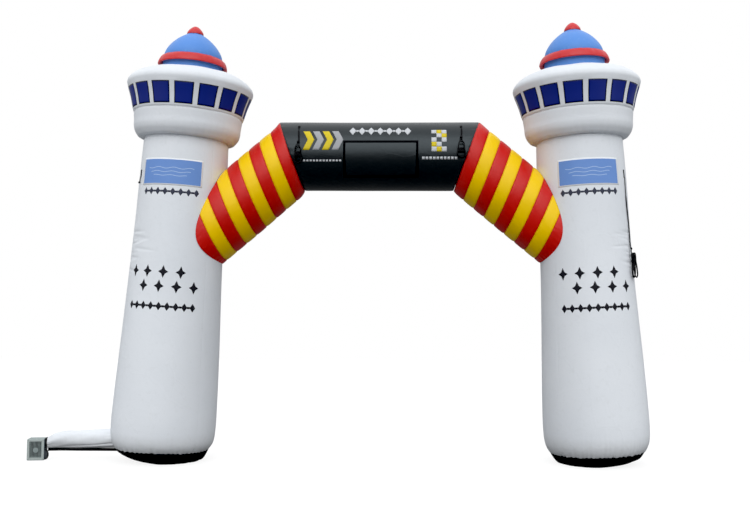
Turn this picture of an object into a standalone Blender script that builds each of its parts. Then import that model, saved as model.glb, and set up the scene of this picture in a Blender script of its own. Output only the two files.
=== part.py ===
"""Inflatable start and finish arch: two leaning lighthouse towers, two striped arms, a beam and a blower."""
import math

import bmesh
import bpy
from mathutils import Matrix, Vector

# Driving dimensions, in metres and degrees. Heights along a tower are measured on its own leaning axis.
TOWER_X = {"left": -3.248, "right": 3.248}   # tower feet, from the middle of the arch
TOWER_LEAN = {"left": 3.72, "right": -2.80}  # the beam draws both towers inwards
SIGN = {"left": -1, "right": 1}
SEAM_GAP = 0.0003                            # clearance between two sewn pieces
ROUND_STEPS = 40                             # facets round each tube

BASE_TOP = 0.160        # seam between the black base and the white tower
NECK_TOP = 4.797        # seam between tower and collar
LANTERN_BOTTOM = 5.175  # seam between collar and window band
ROOF_TOP = 5.850        # seam between the lantern's roof and the dome
FINIAL_SEAM = 6.458
DOME_LIFT = {"left": 0.0, "right": 0.030}     # the right dome stands fuller on its roof

BEAM_RADIUS = 0.517
BEAM_HEIGHT = 4.558
MITRE_X = 1.315         # where beam and arm meet
MITRE_TILT = 20.25
ARM_X = {"left": 1.280, "right": 1.304}      # where an arm's axis crosses the beam's height
ARM_DROP = {"left": 40.8, "right": 39.8}     # slope of an arm
ARM_DEPTH = {"left": 0.560, "right": 0.528}  # half depth of an arm where it wraps round its tower
TILT_PER_METRE = 3.2    # how fast the strips of an arm turn from the mitre towards the tower

BANNER_LEFT = -0.520
BANNER_RIGHT = 0.583
BANNER_TOP_FACETS = 2   # facets above and below the beam's front line
BANNER_BOTTOM_FACETS = 5
BANNER_STRIP = 0.036
BANNER_THICK = 0.003

BLOWER_X = -5.086
BLOWER_Y = -0.096
BLOWER_TURN = 8.0       # the blower stands a little turned on the ground
BLOWER_WIDTH = 0.250
BLOWER_DEPTH = 0.220
BLOWER_HEIGHT = 0.313
GRILLE_WIDTH = 0.176
GRILLE_TALL = 0.236
GRILLE_HEIGHT = 0.160   # centre above the ground
GRILLE_RECESS = 0.030
OUTLET_RADIUS = 0.066
OUTLET_HEIGHT = 0.246
FLANGE_SIDE = 0.150
FLANGE_THICK = 0.008
SPOUT_LENGTH = 0.030
SLEEVE_SIDES = 20
KEEL_DROP = 0.026       # black strip along the sleeve's lower seam
KEEL_THICK = 0.006

ROPE_RADIUS = 0.006
ROPE_STAND_OFF = 0.0080  # rope axis above the cloth that it lies on
HANK_THICK = 0.060
HANK_STAND_OFF = 0.004   # back of a hank above the cloth
HANK_ENTRY = 0.012       # rope axis above the cloth where it enters the tower's hank

# Turned profiles: height, radius, from the bottom up.
BASE_ROWS = [(-0.050, 0.440), (0.000, 0.520), (0.022, 0.580), (0.055, 0.626), (0.100, 0.660), (BASE_TOP, 0.690)]
TOWER_ROWS = [(BASE_TOP, 0.690), (0.200, 0.718), (0.280, 0.752), (0.380, 0.769), (0.480, 0.773),
              (0.900, 0.764), (1.420, 0.743), (2.050, 0.717), (2.775, 0.690), (3.600, 0.665),
              (4.120, 0.657), (4.575, 0.644), (NECK_TOP, 0.636)]
COLLAR_ROWS = [(NECK_TOP, 0.648), (4.804, 0.680), (4.826, 0.728), (4.855, 0.758), (4.893, 0.782),
               (4.945, 0.798), (5.050, 0.806), (LANTERN_BOTTOM, 0.820)]
LANTERN_ROWS = [(LANTERN_BOTTOM, 0.820), (5.215, 0.832), (5.380, 0.875), (5.500, 0.915), (5.560, 0.938),
                (5.610, 0.949), (5.656, 0.937), (5.700, 0.903), (5.750, 0.846), (5.795, 0.758),
                (ROOF_TOP, 0.470)]
SKIRT_ROWS = [(ROOF_TOP, 0.452), (5.942, 0.450), (6.010, 0.447), (6.060, 0.444)]
CAP_ROWS = [(6.130, 0.432), (6.190, 0.406), (6.245, 0.370), (6.290, 0.333), (6.332, 0.292), (6.372, 0.246),
            (6.406, 0.200), (6.437, 0.152), (FINIAL_SEAM, 0.118)]
RING_OUTER_ROWS = [(5.968, 0.466), (5.940, 0.500), (5.934, 0.516), (5.942, 0.524), (5.972, 0.518), (6.008, 0.503),
                   (6.044, 0.482), (6.066, 0.462), (6.072, 0.449)]
FINIAL_ROWS = [(FINIAL_SEAM, 0.126), (6.484, 0.123), (6.508, 0.111), (6.532, 0.093), (6.554, 0.072),
               (6.573, 0.047), (6.586, 0.022), (6.591, 0.0)]

# Arm: distance along its axis, half height, share of the way to ARM_DEPTH. The last row lies inside the tower
# and is cut away.
ARM_ROWS = [(0.12, 0.520, 0.03), (0.35, 0.523, 0.12), (0.75, 0.523, 0.38), (1.15, 0.521, 0.68), (1.55, 0.518, 0.90),
            (1.90, 0.516, 1.00), (2.20, 0.516, 1.00)]

# Sleeve: distance from the spout, radius, height and side shift of its centre, turn of its section.
SLEEVE_ROWS = [(0.0, 0.084, 0.252, 0.000, 8.0), (0.035, 0.091, 0.260, 0.005, 7.0), (0.075, 0.104, 0.273, 0.010, 6.0),
               (0.140, 0.115, 0.285, 0.018, 5.0), (0.460, 0.128, 0.294, 0.046, 4.0), (0.760, 0.138, 0.302, 0.064, 2.0),
               (0.940, 0.144, 0.307, 0.071, 1.0), (1.040, 0.146, 0.309, 0.073, 0.0)]


def reach(side):
    """Outermost x of a tower: its widest rows are turned about the leaning axis."""
    lean = math.radians(TOWER_LEAN[side])
    rows = TOWER_ROWS + COLLAR_ROWS + LANTERN_ROWS
    return TOWER_X[side] + SIGN[side] * max(r * math.cos(lean) + SIGN[side] * h * math.sin(lean) for h, r in rows)


def blower_corner():
    """Outermost x of the turned blower."""
    turn = math.radians(BLOWER_TURN)
    return BLOWER_X - (BLOWER_WIDTH * math.cos(turn) + BLOWER_DEPTH * math.sin(turn)) / 2


# The origin lies under the middle of the whole part, blower included.
ARCH_X = -(blower_corner() + reach("right")) / 2


def clear_scene():
    for obj in list(bpy.data.objects):
        bpy.data.objects.remove(obj, do_unlink=True)
    for name in ("inflatable_arch", "cutters"):
        old = bpy.data.collections.get(name)
        if old:
            bpy.data.collections.remove(old)


def new_collection(name):
    collection = bpy.data.collections.new(name)
    bpy.context.scene.collection.children.link(collection)
    return collection


def make_material(name, colour, roughness, metallic=0.0):
    mat = bpy.data.materials.new(name)
    mat.use_nodes = True
    shader = mat.node_tree.nodes["Principled BSDF"]
    shader.inputs["Base Color"].default_value = (*colour, 1.0)
    shader.inputs["Roughness"].default_value = roughness
    shader.inputs["Metallic"].default_value = metallic
    return mat


clear_scene()
PARTS = new_collection("inflatable_arch")
CUTTERS = new_collection("cutters")

WHITE = make_material("white_cloth", (0.80, 0.82, 0.85), 0.55)
BLACK = make_material("black_cloth", (0.012, 0.012, 0.014), 0.50)
RED = make_material("red_cloth", (0.62, 0.02, 0.02), 0.50)
BLUE = make_material("blue_cloth", (0.11, 0.30, 0.75), 0.50)
GREY = make_material("blower_grey", (0.26, 0.31, 0.31), 0.45)
DARK = make_material("dark_metal", (0.05, 0.06, 0.08), 0.45, 0.6)
RUBBER = make_material("black_rubber", (0.010, 0.010, 0.010), 0.60)
ROPE = make_material("black_rope", (0.010, 0.010, 0.012), 0.80)

ARCH = bpy.data.objects.new("arch_origin", None)
ARCH.location = (ARCH_X, 0.0, 0.0)
bpy.context.scene.collection.objects.link(ARCH)

BLOWER = bpy.data.objects.new("blower_origin", None)
BLOWER.parent = ARCH
BLOWER.location = (BLOWER_X, BLOWER_Y, 0.0)
BLOWER.rotation_euler = (0, 0, math.radians(BLOWER_TURN))
bpy.context.scene.collection.objects.link(BLOWER)


def add_object(name, data, mat=None, collection=PARTS):
    obj = bpy.data.objects.new(name, data)
    obj.parent = ARCH
    collection.objects.link(obj)
    if mat:
        data.materials.append(mat)
    if collection is CUTTERS:
        obj.hide_render = True
        obj.display_type = "WIRE"
    return obj


def smooth(mesh, angle=35.0):
    mesh.shade_smooth()
    mesh.set_sharp_from_angle(angle=math.radians(angle))


def turned(name, rows, mat, side, collection=PARTS):
    """A solid turned about a tower's axis from rows of height and radius, given from the bottom up."""
    profile = [Vector((r, 0, h)) for h, r in reversed(rows)]
    if rows[-1][1] > 0:
        profile.insert(0, Vector((0, 0, rows[-1][0])))
    profile.append(Vector((0, 0, rows[0][0])))
    return screw(name, profile, False, mat, side, collection)


def screw(name, profile, closed, mat, side, collection=PARTS):
    mesh = bpy.data.meshes.new(name)
    edges = [(i, i + 1) for i in range(len(profile) - 1)]
    if closed:
        edges.append((len(profile) - 1, 0))
    mesh.from_pydata(profile, edges, [])
    obj = add_object(name, mesh, mat, collection)
    obj.location = (TOWER_X[side], 0, 0)
    obj.rotation_euler = (0, math.radians(TOWER_LEAN[side]), 0)
    mod = obj.modifiers.new("turn", "SCREW")
    mod.axis = "Z"
    mod.angle = 2 * math.pi
    mod.steps = mod.render_steps = ROUND_STEPS
    mod.use_merge_vertices = True
    mod.merge_threshold = 0.00001
    mod.use_smooth_shade = True
    return obj


def box(name, low, high, mat=None, collection=PARTS, bevel=0.0, segments=2):
    bm = bmesh.new()
    bmesh.ops.create_cube(bm, size=1.0)
    size = Vector(high) - Vector(low)
    bmesh.ops.scale(bm, vec=size, verts=bm.verts)
    mesh = bpy.data.meshes.new(name)
    bm.to_mesh(mesh)
    bm.free()
    obj = add_object(name, mesh, mat, collection)
    obj.location = (Vector(low) + Vector(high)) / 2
    if bevel:
        mod = obj.modifiers.new("round", "BEVEL")
        mod.width = bevel
        mod.segments = segments
    return obj


def cut(obj, cutter, operation="DIFFERENCE"):
    mod = obj.modifiers.new(cutter.name, "BOOLEAN")
    mod.operation = operation
    mod.object = cutter
    mod.solver = "EXACT"


def loft(name, rings, mat):
    """A closed solid through rings of points, with a flat cap on the first and the last ring."""
    bm = bmesh.new()
    loops = [[bm.verts.new(p) for p in ring] for ring in rings]
    count = len(loops[0])
    for low, high in zip(loops, loops[1:]):
        for i in range(count):
            j = (i + 1) % count
            bm.faces.new((low[i], low[j], high[j], high[i]))
    bm.faces.new(list(reversed(loops[0])))
    bm.faces.new(loops[-1])
    bmesh.ops.recalc_face_normals(bm, faces=bm.faces)
    mesh = bpy.data.meshes.new(name)
    bm.to_mesh(mesh)
    bm.free()
    smooth(mesh)
    return add_object(name, mesh, mat)


def slanted_ring(centre, along, radius, depth, tilt, sign):
    """A tube's section in a plane whose top leans outwards by tilt degrees; the tube runs along a slope."""
    slope = math.radians(along)
    lean = math.radians(tilt)
    up = Vector((sign * math.sin(slope), 0, math.cos(slope)))
    edge = Vector((sign * math.sin(lean), 0, math.cos(lean)))
    edge = edge / edge.dot(up)
    ring = []
    for i in range(ROUND_STEPS):
        a = 2 * math.pi * i / ROUND_STEPS
        ring.append(centre + radius * math.sin(a) * edge + depth * math.cos(a) * Vector((0, -1, 0)))
    return ring


def offset_rows(rows, low=0.0, high=0.0):
    """Rows with their first and last height moved, to leave the seam's clearance."""
    moved = list(rows)
    moved[0] = (rows[0][0] + low, rows[0][1])
    moved[-1] = (rows[-1][0] - high, rows[-1][1])
    return moved


def lifted_rows(rows, side):
    """Rows of the dome and what it carries, raised by the tower's own lift."""
    return [(h + DOME_LIFT[side], r) for h, r in rows]


def make_tower(side):
    ground = box("ground_cut_" + side, (TOWER_X[side] - 1.2, -1.2, -0.5), (TOWER_X[side] + 1.2, 1.2, 0.0),
                 collection=CUTTERS)
    base = turned("base_" + side, offset_rows(BASE_ROWS, 0.0, SEAM_GAP), BLACK, side)
    cut(base, ground)
    turned("tower_" + side, TOWER_ROWS, WHITE, side)
    turned("collar_" + side, offset_rows(COLLAR_ROWS, SEAM_GAP), WHITE, side)
    turned("lantern_" + side, offset_rows(LANTERN_ROWS, SEAM_GAP), WHITE, side)
    cap = lifted_rows(SKIRT_ROWS[1:] + CAP_ROWS, side)
    turned("dome_" + side, offset_rows(SKIRT_ROWS[:1] + cap, SEAM_GAP, SEAM_GAP), BLUE, side)
    turned("finial_" + side, lifted_rows(FINIAL_ROWS, side), RED, side)
    make_dome_ring(side)


def make_dome_ring(side):
    """The red ring: a flared brim, sewn on round the dome's skirt and hollow underneath."""
    outer = [Vector((r, 0, h)) for h, r in reversed(lifted_rows(RING_OUTER_ROWS, side))]
    inner = [Vector((r + SEAM_GAP, 0, h)) for h, r in lifted_rows(SKIRT_ROWS[2:], side)]
    screw("dome_ring_" + side, outer + inner, True, RED, side)


def make_saddle_cutter(side):
    """The tower with its seam clearance, which shapes whatever is sewn to it."""
    rows = [(h, r + SEAM_GAP) for h, r in BASE_ROWS[1:-1] + TOWER_ROWS]
    return turned("saddle_" + side, rows, None, side, CUTTERS)


def make_arm(side, saddle):
    sign = SIGN[side]
    drop = ARM_DROP[side]
    slope = math.radians(drop)
    start = Vector((sign * ARM_X[side], 0, BEAM_HEIGHT))
    along = Vector((sign * math.cos(slope), 0, -math.sin(slope)))
    mitre = Vector((sign * MITRE_X, 0, BEAM_HEIGHT))
    rings = [slanted_ring(mitre, 0.0, BEAM_RADIUS, BEAM_RADIUS, MITRE_TILT, sign)]
    for distance, radius, share in ARM_ROWS:
        tilt = MITRE_TILT + TILT_PER_METRE * distance
        depth = radius + share * (ARM_DEPTH[side] - radius)
        rings.append(slanted_ring(start + along * distance, drop, radius, depth, tilt, sign))
    arm = loft("arm_" + side, rings, RED)
    cut(arm, saddle)


def make_beam():
    rings = []
    for side in ("left", "right"):
        sign = SIGN[side]
        centre = Vector((sign * (MITRE_X - 2 * SEAM_GAP), 0, BEAM_HEIGHT))
        rings.append(slanted_ring(centre, 0.0, BEAM_RADIUS, BEAM_RADIUS, MITRE_TILT, sign))
    loft("beam", rings, BLACK)


def beam_point(x, degrees, radius):
    a = math.radians(degrees)
    return Vector((x, -radius * math.cos(a), BEAM_HEIGHT + radius * math.sin(a)))


def make_banner_frame():
    """A hook-and-loop rectangle that follows the beam's front facets."""
    step = 360.0 / ROUND_STEPS
    angles = [step * i for i in range(-BANNER_BOTTOM_FACETS, BANNER_TOP_FACETS + 1)]
    inner = BEAM_RADIUS + SEAM_GAP
    outer = inner + BANNER_THICK
    rings = []
    for x in (BANNER_LEFT, BANNER_RIGHT):
        ring = [beam_point(x, a, inner) for a in angles] + [beam_point(x, a, outer) for a in reversed(angles)]
        rings.append(ring)
    frame = loft("banner_frame", rings, RUBBER)
    inset = math.degrees(BANNER_STRIP / BEAM_RADIUS)
    low = beam_point(0, angles[0] + inset, outer).z
    high = beam_point(0, angles[-1] - inset, outer).z
    window = box("banner_window", (BANNER_LEFT + BANNER_STRIP, -BEAM_RADIUS - 0.05, low),
                 (BANNER_RIGHT - BANNER_STRIP, 0.0, high), collection=CUTTERS)
    cut(frame, window)


def make_sleeve(saddle):
    turn = math.radians(BLOWER_TURN)
    out = BLOWER_WIDTH / 2 + SPOUT_LENGTH + SEAM_GAP
    start = Vector((BLOWER_X + out * math.cos(turn), BLOWER_Y + out * math.sin(turn), 0))
    rings = []
    keel_rings = []
    half = KEEL_THICK / 2
    for distance, radius, height, shift, degrees in SLEEVE_ROWS:
        centre = start + Vector((distance, shift, height))
        across = Matrix.Rotation(math.radians(degrees), 4, "Z") @ Vector((0, radius, 0))
        ring = []
        for i in range(SLEEVE_SIDES):
            a = 2 * math.pi * i / SLEEVE_SIDES
            ring.append(centre + across * math.cos(a) + Vector((0, 0, radius * math.sin(a))))
        rings.append(ring)
        top = -radius - 2 * SEAM_GAP
        keel_rings.append([centre + Vector((0, y, z)) for y, z in
                           ((-half, top), (half, top), (half, top - KEEL_DROP), (-half, top - KEEL_DROP))])
    cut(loft("inflation_sleeve", rings, WHITE), saddle)
    cut(loft("sleeve_keel", keel_rings, BLACK), saddle)


def make_blower():
    half = BLOWER_WIDTH / 2
    front = -BLOWER_DEPTH / 2
    case = box("blower_case", (-half, front, 0.0), (half, -front, BLOWER_HEIGHT), GREY, bevel=0.010)
    recess = box("grille_recess", (-GRILLE_WIDTH / 2, front - 0.05, GRILLE_HEIGHT - GRILLE_TALL / 2),
                 (GRILLE_WIDTH / 2, front + GRILLE_RECESS, GRILLE_HEIGHT + GRILLE_TALL / 2), collection=CUTTERS)
    cut(case, recess)
    make_grille(front)
    make_outlet(half)
    make_handle(half, front)


def make_grille(front):
    """A grille of upright bars with a round hub, set in the recess."""
    half = GRILLE_WIDTH / 2 - SEAM_GAP
    tall = GRILLE_TALL / 2 - SEAM_GAP
    back = front + GRILLE_RECESS - SEAM_GAP
    grille = box("blower_grille", (-half, front + 0.012, GRILLE_HEIGHT - tall), (half, back, GRILLE_HEIGHT + tall), GREY)
    bars = 8
    edge = 0.012
    pitch = (2 * half - 2 * edge) / bars
    for i in range(bars):
        left = -half + edge + pitch * (i + 0.25)
        slot = box("grille_slot_%d" % i, (left, front - 0.02, GRILLE_HEIGHT - tall + edge),
                   (left + pitch / 2, back - 0.006, GRILLE_HEIGHT + tall - edge), collection=CUTTERS)
        cut(grille, slot)
    hub = cylinder("grille_hub", 0.038, 0.012)
    hub.location = (0, front + 0.014, GRILLE_HEIGHT - 0.010)
    hub.rotation_euler = (math.radians(90), 0, 0)
    cut(grille, hub, "UNION")


def cylinder(name, radius, length):
    """A cutter, or a piece to unite with another, along its own Z."""
    mesh = bpy.data.meshes.new(name)
    bm = bmesh.new()
    bmesh.ops.create_cone(bm, cap_ends=True, segments=20, radius1=radius, radius2=radius, depth=length)
    bm.to_mesh(mesh)
    bm.free()
    return add_object(name, mesh, None, CUTTERS)


def make_outlet(right):
    """A square flange and a short spout; the sleeve's neck butts on the spout."""
    half = FLANGE_SIDE / 2
    start = right + SEAM_GAP
    sunk = FLANGE_THICK / 2
    flange = box("outlet_flange", (start, -half, OUTLET_HEIGHT - half),
                 (start + FLANGE_THICK, half, OUTLET_HEIGHT + half), DARK)
    length = right + SPOUT_LENGTH - start - sunk
    spout = cylinder("outlet_spout", OUTLET_RADIUS, length)
    spout.location = (start + sunk + length / 2, 0, OUTLET_HEIGHT)
    spout.rotation_euler = (0, math.radians(90), 0)
    cut(flange, spout, "UNION")


def tube(name, points, radius, mat, resolution=2):
    """A round bar or rope through smooth points, with filled ends."""
    curve = bpy.data.curves.new(name, "CURVE")
    curve.dimensions = "3D"
    curve.bevel_depth = radius
    curve.bevel_resolution = resolution
    curve.use_fill_caps = True
    spline = curve.splines.new("POLY")
    spline.points.add(len(points) - 1)
    for point, place in zip(spline.points, points):
        point.co = (*place, 1.0)
    return add_object(name, curve, mat)


def smooth_route(points, steps):
    """A Catmull-Rom curve through a route's own points."""
    padded = [2 * points[0] - points[1]] + list(points) + [2 * points[-1] - points[-2]]
    route = []
    for a, b, c, d in zip(padded, padded[1:], padded[2:], padded[3:]):
        for i in range(steps):
            t = i / steps
            route.append(0.5 * (2 * b + (c - a) * t + (2 * a - 5 * b + 4 * c - d) * t ** 2
                                + (3 * b - a - 3 * c + d) * t ** 3))
    route.append(points[-1])
    return route


def make_handle(right, front):
    """A black D-shaped handle low on the case's outlet side."""
    radius = 0.012
    rows = [(0.014, 0.148), (0.032, 0.136), (0.042, 0.108), (0.046, 0.076), (0.036, 0.038), (0.014, 0.018)]
    bend = smooth_route([Vector((right + out, front + 0.045, height)) for out, height in rows], 2)
    ends = [Vector((right + SEAM_GAP, point.y, point.z)) for point in (bend[0], bend[-1])]
    tube("side_handle", [ends[0]] + bend + [ends[1]], radius, RUBBER)


# Rope routes. On the beam: x, degrees above its front line. On a tower: height, degrees from its front line.
BEAM_ROPES = {
    "left": {"tab": (-1.184, 49.5), "rope": [(-1.180, 36.0), (-1.175, 27.0), (-1.171, 17.0)],
             "hank": (-1.180, 4.634), "width": 0.112, "height": 0.255},
    "right": {"tab": (1.217, 49.5), "rope": [(1.219, 40.0), (1.219, 36.0), (1.215, 30.0)],
              "hank": (1.207, 4.700), "width": 0.130, "height": 0.225},
}
TOWER_TAB_ANGLE = 58.5
TOWER_TAB_HEIGHT = 4.225
TAB_LENGTH = 0.120
TAB_LEAD = 0.018        # how far a rope runs straight on from its tab
TOWER_ROPES = {
    "left": [(4.122, -59.1), (4.100, -59.7), (4.080, -60.6)],
    "right": [(4.060, 57.7), (3.900, 57.7), (3.740, 58.2), (3.600, 59.3), (3.460, 60.0),
              (3.320, 59.4), (3.200, 58.6), (3.110, 58.2)],
}
TOWER_HANK = {"angle": 58.2, "top": 3.080, "width": 0.160, "height": 0.430}


def tower_point(side, height, degrees, stand_off):
    """A point off a tower's cloth: degrees turn from the front towards +X."""
    rows = TOWER_ROWS
    radius = rows[-1][1]
    for (h0, r0), (h1, r1) in zip(rows, rows[1:]):
        if h0 <= height <= h1:
            radius = r0 + (r1 - r0) * (height - h0) / (h1 - h0)
    a = math.radians(degrees)
    local = Vector(((radius + stand_off) * math.sin(a), -(radius + stand_off) * math.cos(a), height))
    turn = Matrix.Rotation(math.radians(TOWER_LEAN[side]), 4, "Y")
    return turn @ local + Vector((TOWER_X[side], 0, 0))


def tab_on(name, centre, outward, upward, width, height, thick=0.005):
    """A flat webbing tab whose back lies on the cloth. Returns the first points of the rope that leaves it."""
    side_way = upward.cross(outward).normalized()
    obj = box(name, (-width / 2, -thick / 2, -height / 2), (width / 2, thick / 2, height / 2), BLACK, bevel=0.0015,
              segments=1)
    turn = Matrix((side_way, -outward.normalized(), upward.normalized())).transposed().to_4x4()
    obj.matrix_local = Matrix.Translation(centre + outward.normalized() * thick / 2) @ turn
    first = centre + outward.normalized() * ROPE_STAND_OFF - upward.normalized() * (height / 2 + SEAM_GAP)
    return [first, first - upward.normalized() * TAB_LEAD]


def make_hank(name, top, outward, upward, width, height):
    """A hank's outer shape: narrow where it hangs, round and wide below."""
    curve = bpy.data.curves.new(name, "CURVE")
    curve.dimensions = "2D"
    curve.fill_mode = "BOTH"
    curve.extrude = HANK_THICK / 2
    spline = curve.splines.new("POLY")
    spline.use_cyclic_u = True
    top_radius = 0.62 * width / 2
    low_radius = width / 2
    outline = []
    for i in range(9):
        a = math.pi * i / 8
        outline.append((top_radius * math.cos(a), -top_radius + top_radius * math.sin(a)))
    for i in range(9):
        a = math.pi + math.pi * i / 8
        outline.append((low_radius * math.cos(a), -height + low_radius + low_radius * math.sin(a)))
    spline.points.add(len(outline) - 1)
    for point, (x, y) in zip(spline.points, outline):
        point.co = (x, y, 0, 1)
    obj = add_object(name, curve, ROPE)
    side_way = upward.cross(outward).normalized()
    turn = Matrix((side_way, upward, outward)).transposed().to_4x4()
    obj.matrix_local = Matrix.Translation(top) @ turn
    return obj


def make_beam_rope(side):
    rope = BEAM_ROPES[side]
    x, degrees = rope["tab"]
    middle = BEAM_RADIUS * math.cos(math.pi / ROUND_STEPS) + SEAM_GAP
    centre = beam_point(x, degrees, middle)
    outward = beam_point(0, degrees, 1) - beam_point(0, degrees, 0)
    upward = beam_point(0, degrees + 90, 1) - beam_point(0, degrees + 90, 0)
    start = tab_on("tab_beam_" + side, centre, outward, upward, 0.036, 0.052)
    radius = BEAM_RADIUS + ROPE_STAND_OFF
    points = start + [beam_point(px, a, radius) for px, a in rope["rope"]]
    hank_x, hank_top = rope["hank"]
    entry = Vector((hank_x, -BEAM_RADIUS - HANK_ENTRY, hank_top + SEAM_GAP))
    above = entry + Vector((0, 0, 0.020))
    tube("rope_beam_" + side, smooth_route(points + [above], 3) + [entry], ROPE_RADIUS, ROPE)
    hank_back = Vector((hank_x, -BEAM_RADIUS - HANK_STAND_OFF - HANK_THICK / 2, hank_top))
    make_hank("hank_beam_" + side, hank_back, Vector((0, -1, 0)), Vector((0, 0, 1)), rope["width"], rope["height"])


def cloth_frame(side, high, low, degrees):
    """Two points of a tower's cloth, one above the other, with the way up along it and the way out from it."""
    top = tower_point(side, high, degrees, 0.0)
    bottom = tower_point(side, low, degrees, 0.0)
    up = (top - bottom).normalized()
    out = tower_point(side, high, degrees, 1.0) - top
    out = (out - up * out.dot(up)).normalized()
    return top, bottom, up, out


def make_tower_tab(side):
    high = TOWER_TAB_HEIGHT + TAB_LENGTH / 2
    low = TOWER_TAB_HEIGHT - TAB_LENGTH / 2
    top, bottom, up, out = cloth_frame(side, high, low, SIGN[side] * TOWER_TAB_ANGLE)
    facet_sag = (1 - math.cos(math.pi / ROUND_STEPS)) * 0.67
    return tab_on("tab_tower_" + side, (top + bottom) / 2 + out * (SEAM_GAP - facet_sag), out, up, 0.040, TAB_LENGTH)


def make_tower_ropes():
    hang = TOWER_HANK["top"]
    top, _, up, out = cloth_frame("right", hang, hang - TOWER_HANK["height"], TOWER_HANK["angle"])
    entry = top + out * HANK_ENTRY
    for side in ("left", "right"):
        start = make_tower_tab(side)
        route = smooth_route(start + [tower_point(side, h, a, ROPE_STAND_OFF) for h, a in TOWER_ROPES[side]], 4)
        if side == "right":
            route = route[:-1] + [entry + up * 0.020, entry + up * SEAM_GAP]
        tube("rope_tower_" + side, route, ROPE_RADIUS, ROPE)
    centre = top + out * (HANK_STAND_OFF + HANK_THICK / 2)
    make_hank("hank_tower_right", centre, out, up, TOWER_HANK["width"], TOWER_HANK["height"])


def main():
    for side in ("left", "right"):
        make_tower(side)
    saddles = {side: make_saddle_cutter(side) for side in ("left", "right")}
    for side in ("left", "right"):
        make_arm(side, saddles[side])
    make_beam()
    make_banner_frame()
    make_sleeve(saddles["left"])
    standing = set(bpy.data.objects)
    make_blower()
    for obj in set(bpy.data.objects) - standing:
        obj.parent = BLOWER
    for side in ("left", "right"):
        make_beam_rope(side)
    make_tower_ropes()


main()
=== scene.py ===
import bmesh
import bpy
import math
import numpy as np
from mathutils import Matrix, Vector


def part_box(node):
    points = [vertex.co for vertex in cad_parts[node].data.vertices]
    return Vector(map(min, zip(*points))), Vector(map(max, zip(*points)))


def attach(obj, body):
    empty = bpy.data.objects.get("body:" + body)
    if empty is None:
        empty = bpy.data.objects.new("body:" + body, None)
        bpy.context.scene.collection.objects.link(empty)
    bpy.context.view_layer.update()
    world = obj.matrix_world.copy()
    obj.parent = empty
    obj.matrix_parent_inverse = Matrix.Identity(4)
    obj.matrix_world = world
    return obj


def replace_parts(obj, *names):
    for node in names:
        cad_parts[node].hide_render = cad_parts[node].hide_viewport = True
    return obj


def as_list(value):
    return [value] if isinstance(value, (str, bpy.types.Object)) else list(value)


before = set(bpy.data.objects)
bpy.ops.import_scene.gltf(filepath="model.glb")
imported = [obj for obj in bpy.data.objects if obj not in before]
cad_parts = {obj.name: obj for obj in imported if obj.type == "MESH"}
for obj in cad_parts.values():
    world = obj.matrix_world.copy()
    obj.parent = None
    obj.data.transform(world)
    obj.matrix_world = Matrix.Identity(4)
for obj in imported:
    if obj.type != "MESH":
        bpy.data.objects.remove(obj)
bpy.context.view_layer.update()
print("frame loaded,", len(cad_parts), "solids")


beamLow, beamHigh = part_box("beam")
archX = (beamLow.x + beamHigh.x) / 2          # middle of the passage
beamHeight = (beamLow.z + beamHigh.z) / 2
beamRadius = (beamHigh.y - beamLow.y) / 2
seamGap = 0.0003                              # clearance between two sewn pieces

towers = {
    "left": {"sign": -1, "foot": -3.248, "lean": 3.72, "armX": 1.280, "armDrop": 40.8, "armDepth": 0.560,
             "lift": 0.0, "footTuck": 0.043, "seamRise": 0.026},
    "right": {"sign": 1, "foot": 3.248, "lean": -2.80, "armX": 1.304, "armDrop": 39.8, "armDepth": 0.528,
              "lift": 0.030, "footTuck": 0.030, "seamRise": 0.004},
}

# height and radius up each turned piece, on the tower's own leaning axis
profiles = {
    "base": [(0.000, 0.520), (0.022, 0.580), (0.055, 0.626), (0.100, 0.660), (0.160, 0.690)],
    "tower": [(0.160, 0.690), (0.200, 0.718), (0.280, 0.752), (0.380, 0.769), (0.480, 0.773), (0.900, 0.764),
              (1.420, 0.743), (2.050, 0.717), (2.775, 0.690), (3.600, 0.665), (4.120, 0.657), (4.575, 0.644),
              (4.797, 0.636)],
    "collar": [(4.797, 0.648), (4.804, 0.680), (4.826, 0.728), (4.855, 0.758), (4.893, 0.782), (4.945, 0.798),
               (5.050, 0.806), (5.175, 0.820)],
    "lantern": [(5.175, 0.820), (5.215, 0.832), (5.380, 0.875), (5.500, 0.915), (5.560, 0.938), (5.610, 0.949),
                (5.656, 0.937), (5.700, 0.903), (5.750, 0.846), (5.795, 0.758), (5.850, 0.470)],
    "dome": [(5.850, 0.452), (5.942, 0.450), (6.010, 0.447), (6.060, 0.444), (6.130, 0.432), (6.190, 0.406),
             (6.245, 0.370), (6.290, 0.333), (6.332, 0.292), (6.372, 0.246), (6.406, 0.200), (6.437, 0.152),
             (6.458, 0.118)],
    "ring": [(5.968, 0.466), (5.948, 0.496), (5.944, 0.512), (5.950, 0.521), (5.974, 0.519), (6.004, 0.511),
             (6.034, 0.497), (6.056, 0.479), (6.069, 0.461), (6.072, 0.449)],
    "finial": [(6.458, 0.126), (6.484, 0.123), (6.508, 0.111), (6.532, 0.093), (6.554, 0.072), (6.573, 0.047),
               (6.586, 0.022), (6.591, 0.000)],
}


def distancesAlong(points):
    return np.concatenate([[0.0], np.cumsum(np.linalg.norm(np.diff(points, axis=0), axis=1))])


def lineLength(points):
    return float(distancesAlong(np.asarray(points, float))[-1])


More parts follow.
